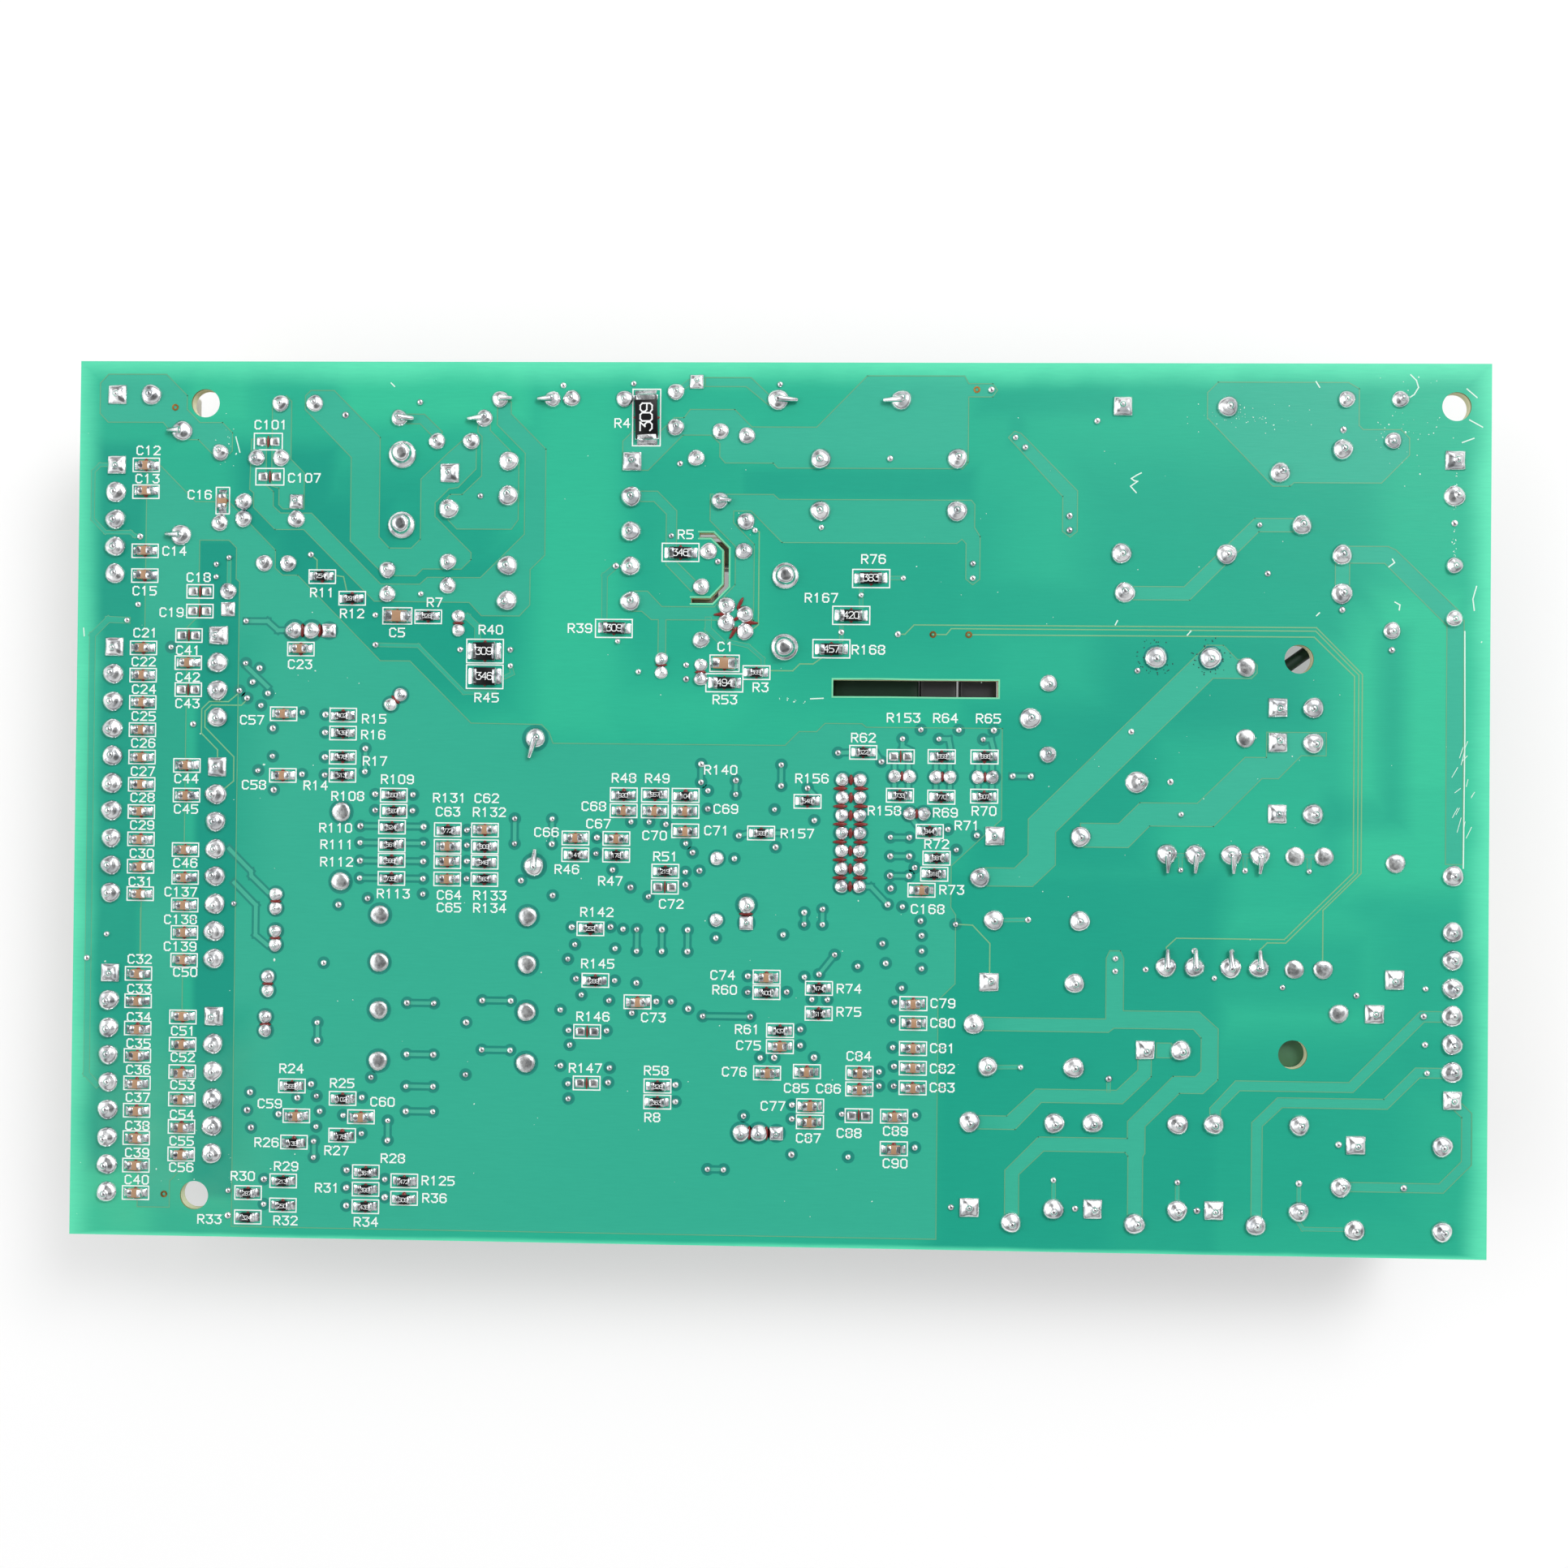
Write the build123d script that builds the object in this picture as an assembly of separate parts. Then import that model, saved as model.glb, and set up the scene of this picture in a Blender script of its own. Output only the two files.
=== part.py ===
from build123d import *
import math
import os

# Main control board of a heating appliance: a 1.6 mm laminate that lies solder side up,
# resting on the tops of its tallest parts.  Sizes are in millimetres.
#
# Places on the board are written (across, down) from its upper left corner, as the solder
# side is seen.  The part has its origin on the floor below the middle of the board,
# X along the long side, Y towards the upper edge and Z up.

# ------------------------------------------------------------------ driving sizes
BOARD_LENGTH = 202.7
BOARD_WIDTH = 126.7
BOARD_THICKNESS = 1.6
TALLEST_PART = 19.0

UNDERSIDE = TALLEST_PART
SOLDER_SIDE = UNDERSIDE + BOARD_THICKNESS
COPPER_DEPTH = 0.07

HOLE_RADIUS = 2.05
HOLE_INSET = 5.5
CORNER_HOLES = [
    (18.4, HOLE_INSET + 0.6),
    (BOARD_LENGTH - HOLE_INSET + 0.6, HOLE_INSET + 0.6),
    (18.2, BOARD_WIDTH - HOLE_INSET - 0.4),
]
SUPPORT_HOLES = [(175.9, 42.1), (175.4, 98.2)]

SLOT_CENTRE = (121.6, 46.7)
SLOT_LENGTH = 23.6
SLOT_WIDTH = 2.4
ROUTED_SLOT_WIDTH = 0.7
ROUTED_SLOT = [(90.4, 24.9), (92.3, 24.9), (94.3, 26.9), (94.3, 32.1), (92.2, 34.3), (89.3, 34.3)]

CONNECTOR_PITCH = 3.96
TERMINAL_PITCH = 5.08
HEADER_PITCH = 2.54
FIRST_COLUMN = 5.5
SECOND_COLUMN = 20.8
RIGHT_COLUMN = 197.75

# each connector: where the first pin is, how many places it has, which places are empty
CONNECTORS = {
    "connector_5_way": ((FIRST_COLUMN, 15.1), 5, []),
    "connector_10_way": ((FIRST_COLUMN, 41.55), 10, []),
    "connector_9_way": ((FIRST_COLUMN, 88.8), 9, []),
    "connector_4_way": ((SECOND_COLUMN, 39.8), 4, []),
    "connector_8_way": ((SECOND_COLUMN, 58.85), 8, []),
    "connector_6_way": ((SECOND_COLUMN, 94.9), 6, []),
    "connector_mains": ((RIGHT_COLUMN, 72.65), 9, [1]),
}
CONNECTOR_BACK = 4.0
CONNECTOR_FRONT = 4.0
CONNECTOR_BASE = 3.2
CONNECTOR_WALL = 1.3
CONNECTOR_WALL_HEIGHT = 11.5
PIN_SIDE = 1.1
PIN_REACH = 12.5

# relays: the common pin and the way the body runs from it (0 to the right, 90 upwards)
RELAYS = [
    ((131.1, 73.65), 0),
    ((130.4, 94.5), 0),
    ((135.9, 122.6), 90),
    ((153.35, 122.5), 90),
    ((170.45, 122.4), 90),
    ((182.3, 116.85), 0),
]
RELAY_LENGTH = 22.5
RELAY_WIDTH = 16.4
RELAY_HEIGHT = TALLEST_PART
RELAY_OVERHANG = 3.3
RELAY_CORNER = 0.9
COIL_OFFSET = 2.0
CONTACT_OFFSET = 14.2
RELAY_HALF_SPREAD = 6.0
CLEARANCE = 0.4

# transformer of the switched supply: two pin rows, one empty place on the output side
TRANSFORMER_CENTRE = (71.7, 24.4)
TRANSFORMER_ROW_SPREAD = 17.8
TRANSFORMER_PIN_PITCH = 5.03
TRANSFORMER_HEIGHT = 17.4
TRANSFORMER_CORE = (24.6, 25.0, 7.2)
TRANSFORMER_LIMB = 3.6
BOBBIN_FLANGE = 1.6
BOBBIN_FOOT = 3.4
COIL_GAP = 0.5
COIL_INSET = 0.8
COIL_CORNER = 3.0

# heat sinks: the middle between their two solder pins, and the side their fins point to
HEAT_SINK_PIN_SPREAD = 10.2
HEAT_SINK_HEIGHT = TALLEST_PART
HEAT_SINK_PLATE = 1.6
HEAT_SINK_FIN = 7.0
HEAT_SINK_WIDTH = 15.8
HEAT_SINK_OUTPUT = (47.3, 18.6)
HEAT_SINK_INPUT = (102.8, 35.8)

PACKAGE_LIFT = 2.0
PACKAGE_WIDTH = 10.0
PACKAGE_TAB = (1.3, 15.4)
PACKAGE_BODY = (3.1, 9.0)
LEAD_SIDE = 0.7
OUTPUT_LEADS = ((54.2, 16.1), [(54.2, 21.3)])
INPUT_LEADS = [(94.4, 35.0), (97.1, 36.25), (94.4, 37.5), (97.1, 38.75)]

RESERVOIRS = [(107.8, 17.6), (127.35, 17.55)]
RESERVOIR_RADIUS = 9.0
RESERVOIR_HEIGHT = TALLEST_PART
RESERVOIR_LEAD_SPREAD = 7.5
RESERVOIR_SIDES = 18
RESERVOIR_LIP = 1.0
RESERVOIR_VENT = 0.4

CHOKE_CENTRE = (158.2, 16.7)
CHOKE_LEAD_SPREAD = (14.9, 21.0)
CHOKE_HEIGHT = 16.8
CHOKE_BASE = (18.4, 24.4, 2.4)
CHOKE_CORE = (23.0, 15.0, 4.6)
CHOKE_LIMB = 4.0
CHOKE_WINDING_WIDTH = 7.2

HEADER_START = (111.25, 59.85)
HEADER_ROWS = 7
HEADER_BODY = 2.5
HEADER_PIN = 0.64
HEADER_PIN_REACH = 6.1

# solder joints by kind: radius of the land (half its side on a square one), height
JOINTS = {
    "large": (1.42, 1.25),
    "medium": (1.12, 1.0),
    "small": (0.88, 0.75),
    "heat_sink": (2.0, 1.7),
    "module": (1.62, 1.1),
    "flat": (1.4, 0.55),
    "square": (1.4, 1.25),
    "small_square": (1.05, 1.0),
}
JOINT_SIDES = {
    "large": 7, "medium": 6, "small": 6, "heat_sink": 8,
    "module": 8, "flat": 8, "square": 4, "small_square": 4,
}

# Leaded parts.  Each line gives the two leads, the size of the body and the kinds of the
# solder joints on those two leads.

# small cylindrical capacitors: can radius, can height
SMALL_CANS = [
    ((27.3, 29.3), (30.8, 29.3), 4.0, 11.5, "medium", "medium"),
    ((45.3, 30.15), (45.3, 33.65), 4.0, 11.5, "medium", "medium"),
    ((54.1, 28.9), (54.1, 32.4), 4.0, 11.5, "medium", "medium"),
    ((29.4, 6.1), (34.4, 6.1), 5.0, 12.5, "medium", "medium"),
    ((29.6, 77.2), (29.6, 79.2), 2.5, 7.0, "small", "small"),
    ((29.6, 82.5), (29.6, 84.5), 2.5, 7.0, "small", "small"),
    ((28.6, 89.1), (28.6, 91.1), 2.5, 7.0, "small", "small"),
    ((28.3, 94.9), (28.3, 96.9), 2.5, 7.0, "small", "small"),
    ((118.7, 59.3), (120.8, 59.3), 2.5, 7.0, "small", "small"),
    ((124.6, 59.3), (126.6, 59.3), 2.5, 7.0, "small", "small"),
    ((130.6, 59.3), (132.6, 59.3), 2.5, 7.0, "small", "small"),
    ((120.9, 64.6), (122.9, 64.6), 2.5, 7.0, "small", "small"),
    ((85.1, 42.7), (85.1, 44.7), 2.5, 7.0, "small", "small"),
    ((90.8, 43.6), (90.8, 45.6), 2.5, 7.0, "small", "small"),
    ((55.7, 36.8), (55.7, 38.8), 2.5, 7.0, "small", "small"),
    ((47.4, 48.2), (46.0, 49.6), 2.5, 7.0, "small", "small"),
    ((97.7, 77.9), (97.7, 80.5), 3.1, 11.0, "medium", "small_square"),
]
CAN_SIDES = 8

# box shaped film capacitors: body length, width, height
FILM_CAPACITORS = [
    ((20.7, 13.3), (20.7, 23.5), 13.0, 4.6, 11.0, "medium", "medium"),
    ((15.15, 10.15), (15.15, 25.25), 18.0, 5.4, 12.0, "large", "large"),
    ((39.0, 65.2), (39.0, 75.25), 13.0, 4.0, 9.0, "flat", "flat"),
    ((26.0, 14.0), (29.6, 14.0), 6.5, 3.0, 7.0, "medium", "medium"),
    ((52.3, 11.5), (57.3, 11.5), 7.2, 3.0, 7.0, "medium", "medium"),
    ((91.75, 27.2), (96.8, 27.2), 7.2, 3.5, 7.0, "medium", "medium"),
    ((90.75, 32.3), (90.75, 40.0), 10.0, 4.0, 9.0, "medium", "medium"),
    ((86.8, 4.3), (86.8, 9.4), 7.2, 2.8, 7.0, "medium", "medium"),
    ((189.6, 70.95), (189.6, 87.4), 18.5, 6.0, 12.5, "flat", "square"),
    ((181.9, 12.25), (181.9, 27.25), 18.0, 6.0, 14.5, "large", "large"),
]

# parts lying along the board: body radius, body length
AXIAL_RESISTORS = [
    ((46.8, 8.2), (59.1, 8.2), 1.3, 6.5, "medium", "medium"),
    ((61.4, 5.4), (69.0, 5.4), 1.0, 4.2, "medium", "medium"),
    ((71.8, 5.3), (79.4, 5.3), 1.0, 4.2, "medium", "medium"),
    ((93.3, 9.95), (93.3, 19.9), 1.3, 6.0, "medium", "medium"),
    ((67.1, 54.3), (67.1, 72.7), 2.2, 11.0, "large", "large"),
    ((93.4, 71.3), (93.4, 80.15), 1.0, 4.2, "small", "small"),
    ((157.5, 70.0), (157.5, 86.0), 1.6, 8.0, "large", "large"),
    ((161.5, 70.0), (161.5, 86.0), 1.6, 8.0, "large", "large"),
    ((166.65, 70.0), (166.65, 86.0), 1.6, 8.0, "large", "large"),
    ((170.65, 70.0), (170.65, 86.0), 1.6, 8.0, "large", "large"),
    ((175.5, 70.1), (175.5, 86.1), 1.6, 8.0, "flat", "flat"),
    ((179.55, 70.1), (179.55, 86.1), 1.6, 8.0, "flat", "flat"),
]
AXIAL_DIODES = [
    ((89.8, 2.85), (89.8, 13.8), 1.3, 5.2, "small_square", "medium"),
    ((97.1, 10.55), (97.1, 22.9), 1.3, 5.2, "medium", "medium"),
    ((101.6, 5.4), (119.25, 5.4), 2.3, 9.0, "large", "large"),
    ((44.8, 79.95), (66.2, 79.95), 2.3, 9.0, "flat", "flat"),
    ((44.8, 86.8), (66.2, 86.8), 2.3, 9.0, "flat", "flat"),
    ((44.8, 93.65), (66.2, 93.65), 2.3, 9.0, "flat", "flat"),
    ((44.8, 101.0), (66.2, 101.0), 2.3, 9.0, "flat", "flat"),
]
AXIAL_SIDES = 8

# coated discs standing on their rims: radius, thickness
DISC_CAPACITORS = [
    ((182.35, 5.1), (189.85, 5.1), 4.5, 3.4, "medium", "medium"),
    ((197.6, 28.65), (197.6, 36.15), 5.5, 3.8, "medium", "medium"),
    ((181.75, 92.3), (186.8, 92.3), 3.6, 3.2, "flat", "square"),
]
VARISTOR = ((173.05, 15.6), (176.2, 23.05), 5.5, 3.4, "large", "large")
DISC_SIDES = 14

# a disc laid flat over the lower support hole, just clear of the fifth relay
LAID_VARISTOR_RADIUS = 5.6
LAID_VARISTOR_THICKNESS = 4.0
LAID_VARISTOR_ACROSS = 175.4

# insulated wires under the board: the two ends, sleeve radius, sleeved length
MAINS_LINK = ((151.3, 32.8), (181.9, 32.75), 0.8, 30.0, "large", "large")
CROSSING_WIRE = ((171.0, 45.8), (181.0, 38.5), 0.95, 12.2)
SLEEVE_SIDES = 6

# pigtail fuse along the right edge: its leads, tube and end caps
FUSE_LEADS = ((188.9, 10.95), (188.9, 37.95), "medium", "medium")
FUSE_TUBE = (2.5, 12.0)
FUSE_CAP = (2.7, 5.0)
FUSE_SIDES = 12

# two pin terminals, 5.08 mm apart: first pin, direction of the second (degrees)
TERMINALS = [
    ((5.45, 4.9), 0),
    ((172.95, 49.0), 0),
    ((172.95, 54.0), 0),
    ((172.95, 64.1), 0),
    ((154.6, 97.8), 0),
    ((197.6, 13.75), -90),
]
TERMINAL_DEPTH = 4.8
TERMINAL_HEIGHT = 9.5

# potted ignition module: its leads on either side, its anchors, middle and size
MODULE_LEFT_LEADS = [(140.5, 45.8), (140.5, 56.0)]
MODULE_RIGHT_LEADS = [(168.4, 43.3), (168.4, 53.4)]
MODULE_ANCHORS = [(137.95, 50.85), (153.1, 59.8), (155.7, 42.0), (163.4, 42.0)]
MODULE_CENTRE = (153.25, 51.0)
MODULE_SIZE = (33.5, 20.8, 16.0)
MODULE_CORNER = 1.0

# parts with three leads in a row, 2.5 mm apart, the last on a square land: the middle lead
TRANSISTORS = [(34.35, 39.0), (99.8, 110.5)]
TRANSISTOR_PITCH = 2.53
TRANSISTOR_HEIGHT = 5.0
TRANSISTOR_OUTLINE = [(-2.3, -1.3), (2.3, -1.3), (2.3, 0.6), (1.2, 1.9), (-1.2, 1.9), (-2.3, 0.6)]
LED_LEADS = ((22.1, 33.4), (22.1, 36.0), "medium", "small_square")
LED_RADIUS = 2.4
LED_HEIGHT = 8.0

# four leaded coupler between the output and the logic: middle, lead spread, body size
OPTOCOUPLER = (28.05, 21.62)
OPTOCOUPLER_SPREAD = (7.7, 2.55)
OPTOCOUPLER_SIZE = (6.4, 4.6, 3.6)

# parts under the board that show through the long slot, and the controller
SLOT_COUPLERS = [(125.0, 46.9), (130.7, 46.9)]
SLOT_COUPLER_SIZE = (4.7, 6.5, 3.6)
SLOT_BLOCK = (116.0, 46.9)
SLOT_BLOCK_SIZE = (12.4, 5.6, 8.0)
MICROCONTROLLER = (81.0, 86.5)
MICROCONTROLLER_SIZE = (12.0, 12.0, 1.5)

# surface mounted parts on the solder side: middle of the body
LEFT_CAPACITOR_ROWS = [
    (9.8, [15.1, 19.0, 27.6, 31.2]),
    (9.75, [41.7 + CONNECTOR_PITCH * place for place in range(10)]),
    (9.65, [88.9 + CONNECTOR_PITCH * place for place in range(9)]),
    (16.35, [43.8, 58.7, 63.0]),
    (16.3, [70.9 + 4.0 * place for place in range(5)]),
    (16.25, [95.1 + CONNECTOR_PITCH * place for place in range(6)]),
]
CHIP_CAPACITORS = [
    (32.8, 41.7), (30.4, 51.1), (30.4, 60.0),
    (54.5, 70.0), (54.5, 72.2), (54.5, 74.7), (59.9, 67.6),
    (79.9, 64.6), (84.4, 64.6), (88.8, 64.6), (88.8, 67.4), (73.0, 68.6), (78.9, 68.6),
    (82.2, 92.0), (100.7, 88.2), (102.7, 98.1), (100.9, 101.9), (106.6, 101.6),
    (107.1, 106.5), (107.1, 108.8), (114.1, 101.7), (114.1, 104.0),
    (121.7, 91.7), (121.7, 94.5), (121.7, 98.1), (121.7, 100.9), (121.7, 103.7),
    (119.1, 107.8), (119.1, 112.4), (122.7, 75.5), (33.0, 109.1), (42.4, 109.1),
]
CHIP_RESISTORS = [
    (35.8, 31.2), (40.2, 34.3), (51.3, 36.9), (98.8, 44.6),
    (39.1, 51.2), (39.1, 53.8), (39.1, 57.3), (39.1, 59.9),
    (46.6, 62.7), (46.6, 65.0), (46.4, 67.3), (46.4, 69.9), (46.4, 72.1), (46.4, 74.7),
    (54.5, 67.6), (59.9, 70.0), (59.9, 72.2), (59.9, 74.7),
    (79.9, 62.3), (84.4, 62.3), (88.8, 62.3), (73.0, 71.0), (78.9, 71.0), (86.0, 73.2),
    (75.3, 81.6), (76.1, 89.0), (85.2, 104.0), (85.2, 106.3),
    (100.7, 90.4), (102.7, 95.8), (108.2, 89.7), (108.2, 93.3),
    (106.3, 63.0), (99.7, 67.6), (114.2, 55.9), (125.4, 56.4), (131.5, 56.4),
    (119.5, 62.0), (125.4, 62.2), (131.5, 62.0), (123.8, 67.1), (124.8, 70.9), (124.5, 73.2),
    (32.3, 104.8), (39.7, 106.5), (32.7, 112.9), (39.7, 111.8),
    (31.2, 118.5), (31.2, 122.0), (26.1, 120.3), (26.1, 123.8),
    (43.2, 117.0), (43.2, 119.5), (43.2, 122.0), (48.8, 118.2), (48.8, 120.7),
]
LONG_CHIP_RESISTORS = [
    (78.2, 38.4), (87.7, 27.4), (115.1, 31.0), (112.3, 36.3), (109.5, 41.1), (94.2, 46.1),
]
LONG_CHIP_CAPACITORS = [(46.8, 36.8), (94.2, 43.3)]
WIDE_CHIP_RESISTORS = [(59.6, 41.8), (59.6, 45.5)]
POWER_CHIP_RESISTOR = (82.6, 8.0)
UPRIGHT_CHIP_CAPACITOR = (21.1, 20.25)
CHIP_SIZE = (2.0, 1.25, 0.65)
LONG_CHIP_SIZE = (3.2, 1.6, 0.65)
WIDE_CHIP_SIZE = (3.2, 2.5, 0.65)
POWER_CHIP_SIZE = (3.2, 6.4, 0.7)

# copper fields of the solder side, as corner lists
COPPER_FIELDS = {
    "upper left terminal": [
        (2.9, 3.2), (4.1, 1.9), (12.6, 1.9), (15.7, 5.0), (15.7, 7.0), (17.6, 8.9), (20.9, 8.9),
        (22.4, 10.4), (22.4, 13.0), (21.2, 14.3), (19.9, 13.9), (17.4, 11.4), (14.3, 11.4),
        (12.2, 8.9), (4.1, 8.9), (2.9, 7.6)],
    "output capacitor": [
        (28.2, 5.8), (29.0, 5.0), (30.2, 5.0), (31.0, 5.8), (31.0, 14.2), (33.0, 16.2),
        (33.0, 21.4), (29.9, 21.4), (29.3, 20.8), (29.3, 18.4), (28.2, 18.1)],
    "output return": [
        (25.2, 11.3), (27.4, 11.3), (27.4, 18.0), (28.5, 18.9), (28.5, 21.0), (29.6, 22.0),
        (34.1, 22.0), (44.3, 32.2), (50.0, 32.2), (51.1, 31.2), (58.8, 31.2), (65.1, 24.9),
        (65.1, 13.2), (61.0, 9.1), (61.0, 5.8), (63.0, 5.8), (63.0, 7.5), (68.1, 12.6),
        (68.1, 27.9), (66.0, 30.0), (66.0, 35.1), (64.5, 36.7), (59.0, 36.7), (57.2, 34.8),
        (43.4, 34.7), (33.0, 24.4), (28.8, 24.4), (25.6, 21.2), (25.6, 19.1), (25.0, 18.6)],
    "output rail": [
        (33.0, 5.0), (33.8, 4.2), (37.2, 4.2), (44.0, 11.0), (44.0, 25.4), (45.5, 27.0),
        (48.7, 27.0), (50.0, 25.7), (50.0, 17.0), (53.9, 13.2), (56.2, 11.2), (58.0, 12.0),
        (58.0, 15.5), (55.4, 18.2), (54.1, 18.4), (52.1, 20.4), (52.1, 22.4), (57.4, 27.6),
        (57.4, 28.6), (56.0, 30.0), (50.4, 30.0), (49.4, 31.0), (44.9, 31.0), (39.8, 26.0),
        (39.8, 13.9), (33.0, 7.0)],
    "rectifier": [
        (58.2, 8.6), (60.0, 8.6), (60.0, 9.9), (64.2, 14.1), (64.2, 22.8), (63.2, 24.2),
        (55.3, 24.2), (53.0, 21.9), (53.0, 20.6), (54.3, 19.2), (56.0, 19.2), (58.8, 16.5),
        (58.8, 10.8), (58.2, 10.2)],
    "snubber": [(47.5, 7.6), (50.4, 7.6), (53.0, 10.1), (53.0, 11.6), (51.4, 11.6), (51.4, 10.6),
                (49.8, 9.0), (47.5, 9.0)],
    "supply input": [
        (79.2, 15.6), (79.2, 11.4), (80.6, 10.0), (84.6, 10.0), (86.6, 8.0), (88.0, 8.0),
        (88.9, 6.8), (95.3, 6.8), (97.8, 9.3), (107.1, 9.3), (114.3, 1.9), (128.2, 1.9),
        (128.8, 3.0), (132.2, 3.0), (132.9, 3.9), (132.2, 4.9), (128.8, 4.9), (128.8, 14.3),
        (128.0, 15.2), (101.6, 15.2), (100.9, 14.5), (94.0, 14.5), (93.2, 13.6), (93.2, 11.7),
        (91.9, 10.5), (87.9, 10.5), (82.9, 15.6)],
    "diode link": [(91.0, 2.2), (97.6, 2.2), (101.0, 5.4), (100.2, 6.2), (96.9, 3.5), (91.0, 3.5)],
    "primary winding": [
        (81.0, 18.6), (84.3, 18.6), (87.1, 21.4), (87.1, 28.7), (90.3, 31.8), (89.3, 33.0),
        (85.6, 29.2), (85.6, 21.9), (83.8, 20.1), (81.0, 20.1)],
    "supply return": [
        (91.9, 19.0), (101.0, 19.0), (101.8, 19.7), (129.3, 19.7), (129.8, 20.3), (129.8, 23.6),
        (130.6, 24.9), (130.6, 31.0), (129.6, 31.8), (128.6, 31.0), (128.6, 25.9), (128.0, 25.3),
        (127.3, 25.9), (102.3, 25.9), (97.8, 21.4), (95.3, 21.4), (95.3, 23.1), (98.3, 26.2),
        (98.3, 37.1), (85.7, 37.1), (85.7, 42.0), (84.6, 42.0), (84.6, 37.1), (83.6, 37.1),
        (82.2, 35.9), (80.6, 35.9), (80.6, 33.0), (83.0, 33.0), (85.1, 35.2), (92.6, 35.2),
        (95.6, 32.0), (95.6, 26.5), (91.9, 22.8)],
    "via bridge": [(134.5, 10.7), (135.4, 9.8), (136.3, 10.1), (144.4, 18.3), (144.4, 24.1),
                   (143.4, 24.9), (142.3, 24.1), (142.3, 19.1)],
    "mains live": [
        (162.7, 4.2), (164.2, 2.7), (182.6, 2.7), (184.1, 3.6), (184.1, 8.8), (184.7, 9.4),
        (190.0, 9.4), (191.2, 10.6), (191.2, 13.0), (187.3, 17.0), (175.0, 17.0), (174.4, 17.5),
        (172.0, 17.5), (162.7, 7.8)],
    "choke output": [(151.5, 31.9), (159.6, 31.9), (169.5, 22.1), (175.5, 22.1), (175.5, 24.0),
                     (170.1, 24.0), (160.4, 33.8), (151.5, 33.8)],
    "mains neutral": [
        (182.5, 26.0), (188.3, 26.0), (189.4, 26.5), (198.2, 35.0), (199.0, 36.5), (199.0, 71.0),
        (196.6, 71.0), (196.6, 37.2), (187.8, 28.4), (182.9, 28.4), (182.9, 32.0), (180.9, 32.0),
        (180.9, 27.5)],
    "first relay common": [
        (131.5, 72.2), (135.9, 72.2), (137.8, 70.3), (137.8, 65.2), (162.9, 40.2), (165.2, 40.2),
        (167.2, 42.2), (169.2, 42.2), (170.0, 43.0), (170.0, 44.1), (169.2, 44.9), (163.8, 44.9),
        (141.7, 67.0), (141.7, 71.7), (138.5, 74.8), (131.5, 74.8)],
    "first relay contact": [
        (145.2, 65.7), (150.6, 65.7), (153.6, 62.7), (161.7, 62.7), (168.4, 56.1), (171.4, 56.1),
        (171.4, 52.5), (179.8, 52.5), (179.8, 55.8), (176.3, 55.8), (173.1, 59.1), (170.8, 59.1),
        (164.0, 66.0), (155.0, 66.0), (152.0, 69.1), (145.2, 69.1)],
    "relay common ring": [
        (131.0, 93.5), (149.0, 93.5), (149.0, 84.9), (149.5, 83.8), (151.0, 83.8), (151.5, 84.9),
        (151.5, 92.3), (162.2, 92.3), (164.9, 94.7), (164.9, 101.9), (162.8, 103.9),
        (159.5, 103.9), (154.7, 108.7), (154.7, 112.5), (154.4, 113.0), (154.4, 122.0),
        (152.3, 122.0), (152.3, 112.9), (151.9, 112.4), (140.4, 112.4), (136.9, 115.8),
        (136.9, 122.0), (134.9, 122.0), (134.9, 115.2), (139.6, 110.4), (152.2, 110.4),
        (152.2, 108.0), (158.6, 101.5), (161.7, 101.5), (162.5, 100.7), (162.5, 96.0),
        (161.4, 94.8), (150.2, 94.8), (149.4, 95.4), (131.0, 95.4)],
    "third relay contact": [
        (130.0, 107.5), (135.1, 107.5), (139.2, 103.6), (150.6, 103.6), (153.6, 100.7),
        (153.6, 98.0), (155.5, 98.0), (155.5, 101.6), (151.5, 105.5), (140.0, 105.5),
        (136.3, 109.4), (130.0, 109.4)],
    "terminal bridge": [(156.2, 96.8), (158.3, 96.8), (158.3, 98.9), (156.2, 98.9)],
    "fifth relay contact": [
        (163.8, 107.0), (163.8, 105.9), (167.4, 102.0), (183.3, 102.0), (193.2, 91.8),
        (196.5, 91.8), (196.5, 93.3), (193.8, 93.3), (183.9, 103.4), (168.0, 103.4),
        (165.3, 106.2), (165.3, 107.0)],
    "fifth relay common": [
        (169.7, 121.5), (169.7, 107.9), (173.3, 104.3), (188.2, 104.3), (192.6, 99.8),
        (196.5, 99.8), (196.5, 101.2), (193.2, 101.2), (188.7, 105.7), (174.0, 105.7),
        (171.2, 108.4), (171.2, 121.5)],
    "sixth relay common": [
        (199.0, 104.6), (200.5, 106.1), (200.5, 113.4), (196.6, 117.4), (183.3, 117.4),
        (183.3, 116.1), (196.0, 116.1), (199.1, 112.9), (199.1, 106.7), (197.8, 105.5)],
    "ground": [
        (9.9, 14.2), (10.9, 14.2), (17.1, 20.4), (22.0, 20.4), (28.9, 27.4), (28.9, 30.0),
        (30.0, 31.0), (32.2, 31.0), (44.4, 43.3), (48.7, 43.3), (57.7, 52.2), (67.9, 52.3),
        (69.0, 53.4), (69.6, 55.0), (103.0, 55.0), (105.0, 53.0), (107.5, 53.0), (108.7, 51.8),
        (114.0, 51.8), (114.6, 52.3), (134.0, 52.3), (134.0, 65.3), (126.9, 72.0), (126.9, 77.9),
        (127.6, 79.0), (127.6, 88.8), (125.2, 91.2), (125.2, 125.2), (23.7, 125.2), (23.7, 32.0),
        (23.2, 31.6), (23.2, 27.1), (22.1, 26.0), (17.8, 26.0), (17.8, 37.0), (16.1, 38.7),
        (16.1, 117.3), (14.6, 118.8), (14.6, 122.6), (9.9, 122.6)],
}


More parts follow.
